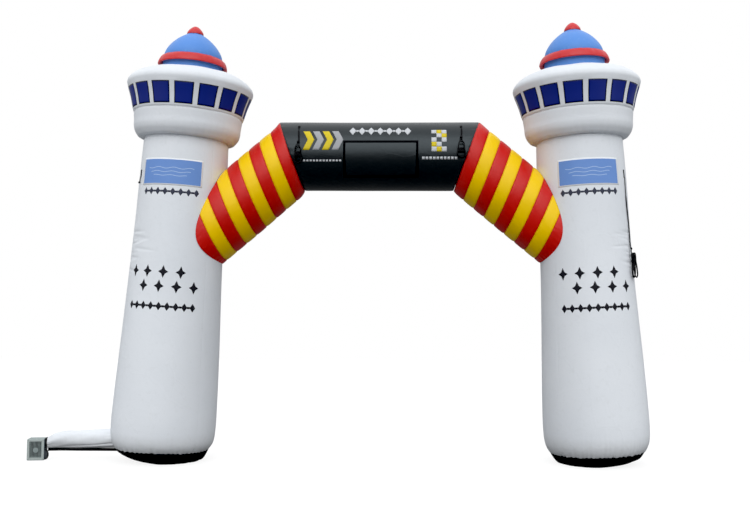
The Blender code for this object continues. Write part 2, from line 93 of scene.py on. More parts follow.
def curveThrough(points, knots, at):
    # a rounded curve through rows of numbers, one for each distance in knots, read at other distances
    knots = np.asarray(knots, float)
    slopes = np.gradient(points, knots, axis=0)
    part = np.clip(np.searchsorted(knots, at, side="right") - 1, 0, len(knots) - 2)
    width = (knots[part + 1] - knots[part])[:, None]
    t = (at - knots[part])[:, None] / width
    return ((2 * t ** 3 - 3 * t ** 2 + 1) * points[part] + (t ** 3 - 2 * t ** 2 + t) * width * slopes[part]
            + (3 * t ** 2 - 2 * t ** 3) * points[part + 1] + (t ** 3 - t ** 2) * width * slopes[part + 1])


def smoothLine(points, at=None, spacing=0.02):
    # a rounded line through points, and the distances along it that it is read at
    points = np.asarray(points, float)
    knots = distancesAlong(points)
    if at is None:
        at = np.linspace(0, knots[-1], max(2, int(round(knots[-1] / spacing)) + 1))
    at = np.clip(at, 0, knots[-1])
    return curveThrough(points, knots, at), at


def spaced(length, fine, coarse, edge):
    # distances from 0 to length, close together near both ends
    steps = [0.0]
    while steps[-1] < length:
        here = steps[-1]
        near = min(here, length - here)
        steps.append(here + fine + (coarse - fine) * min(1.0, near / edge))
    steps[-1] = length
    if length - steps[-2] < fine / 2:
        steps.pop(-2)
    return np.array(steps)


# level brings a sum of waves to about 1; the rest is how uneven, how sharp and how short at the least gathers are
fieldLook = {"level": 1.4, "uneven": 0.45, "sharp": 1.6, "least": 0.2, "slant": (0, 6), "count": 7, "seedStep": 7}


def waves(angle, height, seed, turns, rise, count=9):
    # an even, random-looking field of about -1 to 1 that closes round the tube
    random = np.random.default_rng(seed)
    total = 0
    for i in range(count):
        around = int(random.integers(turns[0], turns[1] + 1))
        along = random.uniform(*rise) * random.choice((-1, 1))
        total = total + np.cos(around * angle + along * height + random.uniform(0, 2 * math.pi))
    return total / math.sqrt(count / 2) / fieldLook["level"]


def puckers(angle, distance, seed, turns, reach):
    # gathers that run away from a seam, 0 to 1
    look = fieldLook
    slow = waves(angle, distance * 0, seed + look["seedStep"], (turns[0] // 3, turns[1] // 3), (0, 0))
    length = np.maximum(reach * (1 + look["uneven"] * slow), look["least"] * reach)
    field = waves(angle, distance, seed, turns, look["slant"], look["count"])
    return (0.5 + 0.5 * np.tanh(look["sharp"] * field)) * np.exp(-np.maximum(distance, 0) / length)


def bell(distance, width):
    # 1 at no distance, falling off over the width, as where a seam draws the cloth in
    return np.exp(-(distance / width) ** 2)


def ramp(value, start, width):
    # 0 up to start, then rising to 1 over the width
    return np.clip((value - start) / width, 0, 1)


def aroundAngles(count):
    return np.linspace(0, 2 * math.pi, count, endpoint=False)


def turnFrom(angle, other):
    # how far one angle is from another, within half a turn
    return (angle - other + math.pi) % (2 * math.pi) - math.pi


# gathers at a seam: depth, seed, how many round the tube from and to, reach from the seam
gathers = {
    "towerFoot": (0.0115, 1, (30, 74), 0.095), "towerNeck": (0.0060, 2, (26, 64), 0.060),
    "panelSeam": (0.0022, 20, (60, 170), 0.022), "footSole": (0.0050, 19, (24, 60), 0.040),
    "footTop": (0.0080, 4, (34, 80), 0.060), "collarFoot": (0.0090, 6, (22, 58), 0.080),
    "collarTop": (0.0035, 8, (40, 90), 0.035), "lanternTop": (0.0060, 10, (24, 60), 0.100),
    "lanternRim": (0.0040, 11, (30, 70), 0.050), "domeBrim": (0.0050, 12, (18, 48), 0.060),
    "domeTop": (0.0030, 13, (10, 26), 0.040), "ringTop": (0.0035, 15, (36, 90), 0.060),
    "armSeam": (0.0050, 0, (26, 70), 0.028), "armTower": (0.0075, 2, (20, 52), 0.075),
    "beamEnd": (0.0050, 1, (20, 54), 0.055), "sleeveStart": (0.0065, 1, (14, 34), 0.050),
    "sleeveTower": (0.0050, 2, (14, 36), 0.050),
}
# uneven cloth: height, seed, waves round the tube from and to, how fast they slant along it, how much it lies lower
swells = {
    "tower": (0.0034, 0, (2, 6), (0.5, 3.0), 1.0), "foot": (-0.0040, 3, (8, 24), (2, 14), -1.0),
    "collar": (0.0025, 5, (3, 9), (2, 8), 0.8), "lantern": (0.0030, 9, (3, 10), (2, 9), 0.8),
    "ring": (0.0025, 14, (8, 30), (0, 20), 0.0), "arm": (0.0030, 1, (3, 9), (2, 7), 0.0),
    "beam": (0.0022, 0, (2, 6), (1, 5), 0.5), "sleeve": (0.0030, 0, (2, 6), (4, 14), 0.0),
}


def gathered(kind, seed, angle, distance):
    deep, step, turns, reach = gathers[kind]
    return deep * puckers(angle, distance, seed + step, turns, reach)


def swelled(kind, seed, angle, along):
    high, step, turns, slant, lower = swells[kind]
    return high * (waves(angle, along, seed + step, turns, slant) - lower)


def towerPlace(side, angle, height, radius):
    # points on a tower: angle from its front towards +X, height and radius on the leaning axis
    lean = math.radians(towers[side]["lean"])
    x = radius * np.sin(angle)
    y = -radius * np.cos(angle)
    return np.stack([archX + towers[side]["foot"] + x * math.cos(lean) + height * math.sin(lean),
                     y + 0 * x, height * math.cos(lean) - x * math.sin(lean)], axis=-1)


def towerLocal(side, points):
    # the way back: angle, height and radius of points in space
    lean = math.radians(towers[side]["lean"])
    x = points[..., 0] - archX - towers[side]["foot"]
    across = x * math.cos(lean) - points[..., 2] * math.sin(lean)
    height = x * math.sin(lean) + points[..., 2] * math.cos(lean)
    return np.arctan2(across, -points[..., 1]), height, np.hypot(across, points[..., 1])


shaftLine = smoothLine(profiles["base"][:-1] + profiles["tower"], spacing=0.01)[0]


def shaftRadius(height):
    return np.interp(height, shaftLine[:, 0], shaftLine[:, 1])


def makeObject(name, mesh):
    thing = bpy.data.objects.new(name, mesh)
    bpy.context.scene.collection.objects.link(thing)
    return thing


meshLook = {"sharp": 50.0, "overEnd": 0.05, "overRing": 0.01}    # degrees to a sharp edge; metres of the flat map


def clothMesh(name, grid, acrossMetres, alongMetres, materials, stripOfRow=None, ringed=False, rope=False):
    # a skin through rows of points that close round; rows run up, columns run so that faces look outwards
    rows, columns = grid.shape[:2]
    points = grid.reshape(-1, 3).tolist()
    faces, corners, kinds = [], [], []
    across = np.linspace(0, 1, columns + 1) * acrossMetres if np.isscalar(acrossMetres) else acrossMetres
    strips = stripOfRow or [0] * rows
    for i in range(rows if ringed else rows - 1):
        low, high = i * columns, (i + 1) % rows * columns
        v0, v1 = alongMetres[i], alongMetres[i] + meshLook["overRing"] if ringed else alongMetres[i + 1]
        for j in range(columns):
            k = (j + 1) % columns
            faces.append((low + j, low + k, high + k, high + j))
            corners += [(across[j], v0), (across[j + 1], v0), (across[j + 1], v1), (across[j], v1)]
            kinds.append(strips[i])
    for row, v in () if ringed else ((0, alongMetres[0]), (rows - 1, alongMetres[-1])):
        centre = len(points)
        points.append(grid[row].mean(axis=0).tolist())
        for j in range(columns):
            ring = (row * columns + j, row * columns + (j + 1) % columns)
            faces.append((centre, *(ring if row else ring[::-1])))
            corners += [(across[j], v + meshLook["overEnd"]), (across[j], v), (across[j + 1], v)]
            kinds.append(strips[max(row - 1, 0)])
    mesh = bpy.data.meshes.new(name)
    mesh.from_pydata(points, [], faces)
    mesh.uv_layers.new(name="UVMap").data.foreach_set("uv", np.array(corners, np.float32).ravel())
    for material in materials:
        mesh.materials.append(material)
    mesh.polygons.foreach_set("material_index", np.array(kinds, np.int32))
    if not rope:
        bm = bmesh.new()
        bm.from_mesh(mesh)
        bmesh.ops.remove_doubles(bm, verts=bm.verts, dist=0.00002)
        bm.to_mesh(mesh)
        bm.free()
    mesh.shade_smooth()
    mesh.set_sharp_from_angle(angle=math.radians(meshLook["sharp"]))
    return makeObject(name, mesh)


def dress(piece, slot, nodes=()):
    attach(piece, "root")
    if nodes:
        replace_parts(piece, *nodes)
    return piece


cameraView = {
    "place": (archX + 0.2877, -14.0117, 2.1690),
    "yaw": -1.4148,            # degrees, to the right of straight ahead
    "pitch": 3.3304,
    "roll": 0.1927,
    "lens": 44.74,
}


def makeCamera(view):
    yaw, pitch, roll = (math.radians(view[k]) for k in ("yaw", "pitch", "roll"))
    ahead = Vector((math.sin(yaw) * math.cos(pitch), math.cos(yaw) * math.cos(pitch), math.sin(pitch)))
    right = Vector((math.cos(yaw), -math.sin(yaw), 0))
    up = right.cross(ahead)
    turned = (math.cos(roll) * right + math.sin(roll) * up, -math.sin(roll) * right + math.cos(roll) * up, -ahead)
    data = bpy.data.cameras.new("camera")
    data.lens = view["lens"]
    data.sensor_width = 36
    data.clip_end = 200
    camera = makeObject("camera", data)
    camera.matrix_world = Matrix.Translation(view["place"]) @ Matrix(turned).transposed().to_4x4()
    bpy.context.scene.camera = camera


makeCamera(cameraView)
print("camera set")


def feed(tree, node, inputs):
    # a socket is linked to its input, and anything else becomes the input's value
    for key, value in inputs.items():
        if isinstance(value, bpy.types.NodeSocket):
            tree.links.new(value, node.inputs[key])
        else:
            node.inputs[key].default_value = value


def addNode(tree, kind, inputs=None, **settings):
    node = tree.nodes.new(kind)
    for name, value in settings.items():
        setattr(node, name, value)
    feed(tree, node, inputs or {})
    return node


def made(tree, kind, inputs=None, **settings):
    return addNode(tree, kind, inputs, **settings).outputs[0]


def maths(tree, operation, *values):
    return made(tree, "ShaderNodeMath", dict(enumerate(values)), operation=operation)


def vectors(tree, operation, *values):
    return made(tree, "ShaderNodeVectorMath", dict(enumerate(values)), operation=operation)


def apart(tree, vector):
    return addNode(tree, "ShaderNodeSeparateXYZ", {0: vector}).outputs


def startMaterial(name):
    # a material with its shader and its piece's coordinates
    material = bpy.data.materials.new(name)
    material.use_nodes = True
    tree = material.node_tree
    tree.nodes.clear()
    shader = addNode(tree, "ShaderNodeBsdfPrincipled")
    addNode(tree, "ShaderNodeOutputMaterial", {"Surface": shader.outputs["BSDF"]})
    return material, tree, shader, addNode(tree, "ShaderNodeTexCoord").outputs["Object"]


def flatMap(tree):
    return addNode(tree, "ShaderNodeTexCoord").outputs["UV"]


def endMaterial(material, tree, shader, colour, gloss, bumps, values):
    # gloss is a texture and its roughness from and to; bumps are textures with their depth and strength
    normal = None
    for bump in bumps:
        normal = bumped(tree, *bump, normal)
    feed(tree, shader, {"Base Color": colour, "Roughness": scaled(tree, *gloss), "Normal": normal, **values})
    return material


def scaled(tree, socket, low, high, start=0.0, full=1.0):
    # a texture's values from start to full brought to another range
    return made(tree, "ShaderNodeMapRange", {"Value": socket, "From Min": start, "From Max": full, "To Min": low,
                                             "To Max": high})


def noise(tree, coordinates, scale, detail=3.0, roughness=0.5, output="Fac"):
    return addNode(tree, "ShaderNodeTexNoise", {"Vector": coordinates, "Scale": scale, "Detail": detail,
                                                "Roughness": roughness}).outputs[output]


def mixColour(tree, factor, first, second):
    first, second = (c if isinstance(c, bpy.types.NodeSocket) else (*c, 1) for c in (first, second))
    return addNode(tree, "ShaderNodeMix", {0: factor, 6: first, 7: second}, data_type="RGBA").outputs[2]


weavePitch = 0.0022      # metres between threads
crumpleDeep = 0.010


def crumples(tree, space):
    return noise(tree, space, 5.0, 5.0, 0.55)


def threads(tree, pitch):
    # a plain weave with a stronger thread every few, height 0 to 1
    flat = apart(tree, flatMap(tree))
    fine = [maths(tree, "SINE", maths(tree, "MULTIPLY", flat[axis], 2 * math.pi / pitch)) for axis in "XY"]
    strong = [scaled(tree, maths(tree, "PINGPONG", flat[axis], 5 * pitch), 1.0, 0.0, full=0.7 * pitch)
              for axis in "XY"]
    return maths(tree, "MULTIPLY_ADD", maths(tree, "MULTIPLY", *fine), 0.3, maths(tree, "MAXIMUM", *strong))


def bumped(tree, height, distance, strength, under=None):
    inputs = {"Height": height, "Distance": distance, "Strength": strength}
    return made(tree, "ShaderNodeBump", {**inputs, "Normal": under} if under else inputs)


def clothMaterial(name, look):
    # coated nylon: a colour that drifts, a satin face, soft crumples, old fold lines and a fine weave
    material, tree, shader, space = startMaterial(name)
    drift, wear = noise(tree, space, 0.9, 4.0), noise(tree, space, 14.0, 6.0, 0.65)
    colour = mixColour(tree, scaled(tree, drift, -0.4, 1.4), look["colour"], look["shade"])
    colour = mixColour(tree, scaled(tree, wear, -1.2, 1.0), colour, look["worn"])
    # the cloth is mixed towards a darker colour near the bottom, mottled by the wear noise
    if "lowerDarkening" in look:
        low = scaled(tree, apart(tree, space)["Z"], 1.0, 0.0, full=look["lowerDarkeningHeight"])
        lowerDarkeningMask = maths(tree, "MULTIPLY", low, scaled(tree, wear, 0.1, 0.8))
        colour = mixColour(tree, lowerDarkeningMask, colour, look["lowerDarkening"])
    crumple = crumples(tree, space)
    bent = vectors(tree, "MULTIPLY_ADD", noise(tree, space, 1.6, 2.0, output="Color"), (0.35, 0.35, 0.35), space)
    folds = made(tree, "ShaderNodeTexVoronoi", {"Vector": bent, "Scale": 1.7}, feature="DISTANCE_TO_EDGE")
    weave = threads(tree, look.get("weave", weavePitch))
    return endMaterial(
        material, tree, shader, colour, (wear, look["roughness"] - 0.07, look["roughness"] + 0.07),
        [(crumple, look.get("crumple", crumpleDeep), 0.35), (scaled(tree, folds, 1.0, 0.0, full=0.035), 0.0012, 0.5),
         (weave, 0.00025, 0.6)],
        {"Specular IOR Level": look.get("specular", 0.3), "Specular Tint": (*look.get("tint", (1, 1, 1)), 1)})


looks = {
    "whiteCloth": {"colour": (0.80, 0.83, 0.87), "shade": (0.73, 0.765, 0.81), "worn": (0.69, 0.72, 0.75),
                   "lowerDarkening": (0.42, 0.40, 0.37), "lowerDarkeningHeight": 0.45, "roughness": 0.50},
    "blackCloth": {"colour": (0.0025, 0.0025, 0.0035), "shade": (0.004, 0.004, 0.005), "worn": (0.007, 0.007, 0.008),
                   "roughness": 0.36, "specular": 0.4},
    "beamCloth": {"colour": (0.0020, 0.0021, 0.0028), "shade": (0.003, 0.003, 0.004), "worn": (0.006, 0.006, 0.007),
                  "roughness": 0.37, "specular": 0.62, "tint": (0.82, 0.94, 1.0)},
    "footCloth": {"colour": (0.0015, 0.0015, 0.0020), "shade": (0.003, 0.003, 0.003), "worn": (0.006, 0.006, 0.006),
                  "roughness": 0.55, "specular": 0.18},
    "redCloth": {"colour": (0.66, 0.009, 0.004), "shade": (0.56, 0.006, 0.003), "worn": (0.72, 0.026, 0.016),
                 "roughness": 0.42, "specular": 0.43},
    "yellowCloth": {"colour": (0.97, 0.66, 0.004), "shade": (0.93, 0.59, 0.003), "worn": (0.97, 0.66, 0.02),
                    "roughness": 0.44, "specular": 0.34},
    "blueCloth": {"colour": (0.115, 0.30, 0.75), "shade": (0.10, 0.27, 0.70), "worn": (0.17, 0.36, 0.78),
                  "roughness": 0.46},
    "capRedCloth": {"colour": (0.66, 0.030, 0.035), "shade": (0.58, 0.026, 0.030), "worn": (0.70, 0.07, 0.08),
                    "roughness": 0.38, "specular": 0.45},
}
cloths = {name: clothMaterial(name, look) for name, look in looks.items()}


def printMaterial(name, look):
    # ink or a thin patch on the cloth, with a border worked out from the patch's own flat map
    material, tree, shader, space = startMaterial(name)
    colour = mixColour(tree, noise(tree, space, 3.0, 4.0), look["colour"], look["shade"])
    flat = apart(tree, flatMap(tree))
    for part in look.get("borders", []):
        edges = [maths(tree, "SUBTRACT", half, maths(tree, "ABSOLUTE", flat[axis]))
                 for axis, half in zip("XY", look["half"])]
        inside = maths(tree, "MINIMUM", *edges)
        band = maths(tree, "MULTIPLY", maths(tree, "GREATER_THAN", inside, part["from"]),
                     maths(tree, "LESS_THAN", inside, part["to"]))
        colour = mixColour(tree, band, colour, part["colour"])
    for wave in look.get("wavesAt", []):
        swing = maths(tree, "SINE", maths(tree, "MULTIPLY_ADD", flat["X"], wave["turns"], wave["start"]))
        line = maths(tree, "MULTIPLY_ADD", swing, wave["swing"], wave["height"])
        off = maths(tree, "ABSOLUTE", maths(tree, "SUBTRACT", flat["Y"], line))
        within = maths(tree, "LESS_THAN", maths(tree, "ABSOLUTE", flat["X"]), wave["reach"])
        drawn = maths(tree, "MULTIPLY", maths(tree, "LESS_THAN", off, wave["thick"]), within)
        colour = mixColour(tree, drawn, colour, look["waveColour"])
    rubbed, crumple = noise(tree, space, 22.0, 5.0, 0.7), crumples(tree, space)
    return endMaterial(
        material, tree, shader, colour, (rubbed, look["roughness"] - 0.06, look["roughness"] + 0.08),
        [(crumple, crumpleDeep, 0.35), (threads(tree, weavePitch), 0.0002, 0.6)], {"Specular IOR Level": 0.25})


ropeLook = {"radius": 0.006, "sides": 8, "spacing": 0.009, "standOff": 0.008, "strandPitch": 0.034, "apart": 0.0063,
            "straight": 0.018}    # how far it hangs straight under its tab
tabs = {                          # where each rope's tab is sewn on, and how far under that its rope comes out
    "beamLeft": {"x": -1.184, "degrees": 49.5, "drop": 0.0263},
    "beamRight": {"x": 1.217, "degrees": 49.5, "drop": 0.0263},
    "tower": {"height": 4.225, "length": 0.120, "degrees": 58.5},
}


# beam: x and degrees above its front line; tower: height and degrees from its front line
ropeRoutes = {
    "beamLeft": [(-1.180, 36.0), (-1.175, 27.0), (-1.171, 17.0)],
    "beamRight": [(1.219, 40.0), (1.219, 36.0), (1.215, 30.0)],
    "towerLeft": [(4.122, -59.1), (4.100, -59.7), (4.080, -60.6)],
    "towerRight": [(4.060, 57.7), (3.900, 57.7), (3.740, 58.2), (3.600, 59.3), (3.460, 60.0), (3.320, 59.4),
                   (3.200, 58.6)],
}
hanks = {
    "beamLeft": {"x": -1.180, "top": 4.634, "width": 0.134, "height": 0.285, "turns": 4, "inner": 0, "splay": 0.012,
                 "fan": 0.026, "lean": 0.0, "tieAt": 0.43, "tieTurns": 13, "pinch": 0.28, "pinchTall": 0.050},
    "beamRight": {"x": 1.207, "top": 4.700, "width": 0.150, "height": 0.270, "turns": 4, "inner": 0, "splay": 0.012,
                  "fan": 0.026, "lean": 0.0, "tieAt": 0.48, "tieTurns": 11, "pinch": 0.22, "pinchTall": 0.050},
    "towerRight": {"degrees": 58.2, "top": 3.060, "width": 0.160, "height": 0.410, "turns": 4, "inner": 3,
                   "splay": 0.034, "fan": 0.066, "lean": -0.055, "tieAt": 0.31, "tieTurns": 5, "pinch": 0.34,
                   "pinchTall": 0.055},
}


hankShape = {
    "entry": 0.012, "layer": 0.0126, "topRadius": 0.0415, "stagger": 0.0115, "clear": 0.001, "steps": 40,
    "innerDrop": 0.030, "innerTuck": 0.014, "innerShort": 0.010, "innerStagger": 0.004,
    "fanReach": 0.10,             # share of the height over which the loops begin to swing out
    "leaveLeft": 0.6, "leaveUnder": 0.012,       # where the last turn ends: share of the fold's radius, metres
    # uneven turns: how fast it changes from one to the next, where it starts, how much, and what is taken off
    "outerSlack": (2.4, 0, 1, 1), "innerSlack": (1.9, 1, 0.6, 0.8), "fanTurn": (2.1, 0.4), "innerFirst": 0.6,
}
hankJoin = {
    "above": 0.050, "out": 0.0135, "inside": 0.0118, "spacing": 0.012,
    # side, rise and share of the way in to the hank, down to its first turn and up from its last
    "entering": ((0.0120, 0.027, 0.36), (0.0205, 0.003, 0.04), (0.0310, -0.021, 0.0)),
    "leaving": ((-0.0360, -0.034, 0.97), (-0.0300, -0.012, 0.82), (-0.0215, 0.010, 0.54), (-0.0125, 0.031, 0.22)),
}
knotLook = {
    "cord": 0.0042, "turns": 3, "pitch": 0.0088, "wide": 0.0172, "deep": 0.0108, "lift": 0.0075, "steps": 16,
    "spacing": 0.004, "at": 0.034,               # how far under the tab the rope's own end is tied to it
    "endPast": 0.004, "reaches": (0.028, 0.030), "neckUnder": 0.005,
    "aloneUp": 0.016, "aloneOut": 0.004, "loose": 0.0004,
}
tieLook = {"cord": 0.0025, "pitch": 0.0054, "steps": 24, "spacing": 0.005, "within": 0.012, "looseWide": 0.0008,
           "looseDeep": 0.0004, "flat": 0.7}


def ropeMaterial():
    material, tree, shader, space = startMaterial("blackRope")
    flat = apart(tree, flatMap(tree))
    turn = maths(tree, "MULTIPLY", flat["X"], 3 / ropeLook["radius"])
    along = maths(tree, "MULTIPLY", flat["Y"], 6 * math.pi / ropeLook["strandPitch"])
    ways = [maths(tree, "SINE", maths(tree, operation, turn, along)) for operation in ("ADD", "SUBTRACT")]
    braid = maths(tree, "MAXIMUM", *ways)
    fuzz = noise(tree, space, 300.0, 3.0)
    colour = mixColour(tree, scaled(tree, braid, 0.0, 1.0), (0.0045, 0.0045, 0.0052), (0.020, 0.020, 0.022))
    return endMaterial(material, tree, shader, colour, (fuzz, 0.72, 0.95),
                       [(braid, 0.0010, 0.9), (fuzz, 0.0003, 0.5)], {"Specular IOR Level": 0.22})


def beamPoint(x, degrees, radius):
    a = math.radians(degrees)
    return Vector((archX + x, -radius * math.cos(a), beamHeight + radius * math.sin(a)))


def towerPoint(side, height, degrees, standOff):
    radius = float(shaftRadius(height)) + standOff
    return Vector(towerPlace(side, math.radians(degrees), height, radius))


def clothFrame(side, high, low, degrees):
    top = towerPoint(side, high, degrees, 0.0)
    bottom = towerPoint(side, low, degrees, 0.0)
    up = (top - bottom).normalized()
    out = towerPoint(side, high, degrees, 1.0) - top
    return top, up, (out - up * out.dot(up)).normalized()


def loopPoint(share, loop):
    # one turn of a hank: down the right leg, round the bottom, up the left leg, over the top
    top, topRadius, bottom, radius = loop
    legs = bottom - top
    swing = math.asin(max(-1.0, min(1.0, (radius - topRadius) / legs)))
    leg = math.sqrt(legs ** 2 - (radius - topRadius) ** 2)
    lowArc, highArc = radius * (math.pi + 2 * swing), topRadius * (math.pi - 2 * swing)
    at = share * (2 * leg + lowArc + highArc)
    for way in (1, -1):
        if at < leg:
            t = at / leg if way > 0 else 1 - at / leg
            reach = topRadius + (radius - topRadius) * t
            return Vector((way * reach * math.cos(swing), -top - legs * t + reach * math.sin(swing)))
        at -= leg
        arc, size, height = (lowArc, radius, bottom) if way > 0 else (highArc, topRadius, top)
        if way < 0 or at < arc:
            a = (swing if way > 0 else math.pi - swing) - at / size
            return Vector((size * math.cos(a), -height + size * math.sin(a)))
        at -= arc


def hankRoute(hank):
    # side, rise and distance from the cloth down the wound rope, from the hank's top
    shape = hankShape
    small, edge = shape["topRadius"], ropeLook["radius"] + shape["clear"]
    wide, top = hank["width"] / 2 - edge, small + edge

    def slack(i, kind):
        fast, start, much, less = shape[kind]
        return hank["splay"] * (much * math.sin(fast * i + start) - less)

    loops = []                                   # each turn's top, its radius, its bottom and that one's radius
    for i in range(hank["turns"] + 1):
        tuck = shape["stagger"] * (i % 2)
        low = hank["height"] - edge - wide + slack(i, "outerSlack") - tuck
        loops.append((top, small, low, max(wide - tuck, small)))
    for i in range(hank["inner"]):
        low = hank["height"] - edge - wide + slack(i, "innerSlack") - shape["innerShort"]
        loops.append((top + shape["innerDrop"], small, low,
                      wide - shape["innerTuck"] - shape["innerStagger"] * (i % 2)))
    turns, steps = len(loops) - 1, shape["steps"]
    route = []
    for i in range(turns * steps + 1):
        at = i / steps
        k = min(int(at), turns - 1)
        loop = [a + (b - a) * (at - k) for a, b in zip(loops[k], loops[k + 1])]
        flat = loopPoint(min(at - k, 0.9999), loop)
        drawn = 1 - hank["pinch"] * bell(flat.y + hank["tieAt"] * hank["height"], hank["pinchTall"])
        layer = min(at, hank["turns"]) - max(0.0, at - hank["turns"] - shape["innerFirst"])
        # under the tie the loops swing out to both sides
        loose = max(0.0, -flat.y / hank["height"] - hank["tieAt"])
        fast, start = shape["fanTurn"]
        swing = hank["fan"] * math.sin(fast * layer + start) + hank["lean"]
        route.append((flat.x * drawn + swing * loose * loose / (loose + shape["fanReach"]), flat.y,
                      shape["entry"] + shape["layer"] * layer))
    # the last turn ends on its left leg, under the fold, and the rope goes on up from there
    while route[-1][0] > -shape["leaveLeft"] * small or route[-1][1] > -top - shape["leaveUnder"]:
        route.pop()
    return route


def ropeMesh(name, route, material, radius=ropeLook["radius"], spacing=ropeLook["spacing"]):
    # a round tube along the route with its own flat map, both ends closed
    line, at = smoothLine(route, spacing=spacing)
    ahead = np.gradient(line, axis=0)
    ahead /= np.linalg.norm(ahead, axis=1)[:, None]
    side = np.cross(ahead[0], (0.3, 0.2, 1.0))
    grid = []
    angles = aroundAngles(ropeLook["sides"])
    for place, way in zip(line, ahead):
        side = side - way * side.dot(way)
        side = side / np.linalg.norm(side)
        other = np.cross(way, side)
        grid.append([place + radius * (math.cos(a) * side + math.sin(a) * other) for a in angles])
    return clothMesh(name, np.array(grid), 2 * math.pi * radius, at, [material], rope=True), line


def wound(name, look, turns, place, material):
    # turns of thin cord, close together; place(angle, rise) is where it runs
    angles = [2 * math.pi * i / look["steps"] for i in range(turns * look["steps"] + 1)]
    points = [place(a, look["pitch"] * (a / (2 * math.pi) - turns / 2)) for a in angles]
    return dress(ropeMesh(name, points, material, look["cord"], look["spacing"])[0], "black_rope")


def cordWrap(name, middle, across, up, out, wide, deep, material):
    # thin cord round the runs of a rope
    return wound(name, knotLook, knotLook["turns"], lambda a, rise: (
        middle + across * wide * math.cos(a) + out * deep * math.sin(a) + up * rise), material)


def hankTie(name, route, top, side, up, out, hank, material):
    # thin cord round the hank where its legs are drawn together
    look = tieLook
    legs = [q - top for q in route]
    thick = ropeLook["radius"] + look["cord"]

    def flattened(value):
        # keeps the back of the ring clear of the cloth
        return math.copysign(abs(value) ** look["flat"], value)

    def place(a, rise):
        down = hank["tieAt"] * hank["height"] - rise
        here = [q for q in legs if abs(q.dot(up) + down) < look["within"]]
        left, right = (f(q.dot(side) for q in here) for f in (min, max))
        near, far = (f(q.dot(out) for q in here) for f in (min, max))
        half = (right - left) / 2 + thick + look["looseWide"]
        deep = (far - near) / 2 + thick + look["looseDeep"]
        return (top - up * down + side * ((left + right) / 2 + half * flattened(math.cos(a)))
                + out * ((near + far) / 2 + deep * flattened(math.sin(a))))

    return wound(name, look, hank["tieTurns"], place, material)


def ropeRun(key, side):
    # points down a rope from its tab, and the way off the cloth at each
    off = ropeLook["standOff"]
    if key in tabs:
        tab = tabs[key]
        out, up = (beamPoint(0, tab["degrees"] + turn, 1) - beamPoint(0, tab["degrees"] + turn, 0)
                   for turn in (0, 90))
        first = beamPoint(tab["x"], tab["degrees"], beamRadius + off) - up * tab["drop"]
        middle = [beamPoint(x, a, beamRadius + off) for x, a in ropeRoutes[key]]
        ways = [beamPoint(0, a, 1) - beamPoint(0, a, 0) for x, a in ropeRoutes[key]]
    else:
        tab = tabs["tower"]
        half = tab["length"] / 2
        degrees, low = towers[side]["sign"] * tab["degrees"], tab["height"] - half
        top, up, out = clothFrame(side, tab["height"] + half, low, degrees)
        first = (top + towerPoint(side, low, degrees, 0.0)) / 2 + out * off - up * (half + seamGap)
        middle = [towerPoint(side, h, a, off) for h, a in ropeRoutes[key]]
        ways = [(towerPoint(side, h, a, 1) - towerPoint(side, h, a, 0)).normalized() for h, a in ropeRoutes[key]]
    return [first, first - up * ropeLook["straight"]] + middle, [out, out] + ways


def hangHank(key, side, name, middle, ways, material):
    # the route down, through the hank and back up beside itself, and the cords tied round it
    hank, look, join = hanks[key], knotLook, hankJoin
    if key in tabs:
        up, out = Vector((0, 0, 1)), Vector((0, -1, 0))
        top = Vector((archX + hank["x"], -beamRadius, hank["top"]))
    else:
        top, up, out = clothFrame(side, hank["top"], hank["top"] - hank["height"], hank["degrees"])
    across = up.cross(out).normalized()

    def spot(x, y, z):
        return top + across * x + up * y + out * z

    share = join["above"] / (middle[-1] - top).dot(up)
    meet = share * (middle[-1] - top).dot(out) + (1 - share) * join["out"]   # how far out the two runs meet the hank
    line, at = smoothLine(middle + [spot(0, join["above"], meet)], spacing=join["spacing"])
    wayLine = smoothLine(ways + [out], spacing=join["spacing"])[0]
    runs = {1: [], -1: []}
    for i, place in enumerate(line):
        way = Vector(wayLine[min(len(wayLine) - 1, int(i * len(wayLine) / len(line)))]).normalized()
        ahead = Vector(line[min(i + 1, len(line) - 1)] - line[max(i - 1, 0)]).normalized()
        beside = way.cross(ahead).normalized()   # the two runs lie side by side
        knots = (at[i] - look["at"], at[-1] - at[i] - look["neckUnder"])
        near = sum(bell(away, reach) for away, reach in zip(knots, look["reaches"]))
        raised = Vector(place) + way * look["lift"] * min(1.0, near)
        for sign in runs:
            runs[sign].append(raised + beside * sign * ropeLook["apart"])
    coils = [spot(*q) for q in hankRoute(hank)]
    right = 1 if (runs[1][-1] - runs[-1][-1]).dot(across) > 0 else -1
    entering = [spot(x, y, join["inside"] + (meet - join["inside"]) * z) for x, y, z in join["entering"]]
    depth = (coils[-1] - top).dot(out)
    leaving = [spot(x, y, meet + (depth - meet) * z) for x, y, z in join["leaving"]]
    end = [q for q, a in zip(runs[-right], at) if a > look["at"] + look["endPast"]]
    pieces = [hankTie("hankTie" + name, coils, top, across, up, out, hank, material)]
    for label, i in (("endKnot", int(np.searchsorted(at, look["at"]))), ("neckKnot", len(line) - 2)):
        centre = (runs[1][i] + runs[-1][i]) / 2
        ahead = (runs[1][i - 1] - runs[1][i]).normalized()
        beside = (runs[1][i] - runs[-1][i]).normalized()
        pieces.append(cordWrap(label + name, centre, beside, ahead, beside.cross(ahead), look["wide"], look["deep"],
                               material))
    return runs[right] + entering + coils + leaving + end[::-1][1:], pieces


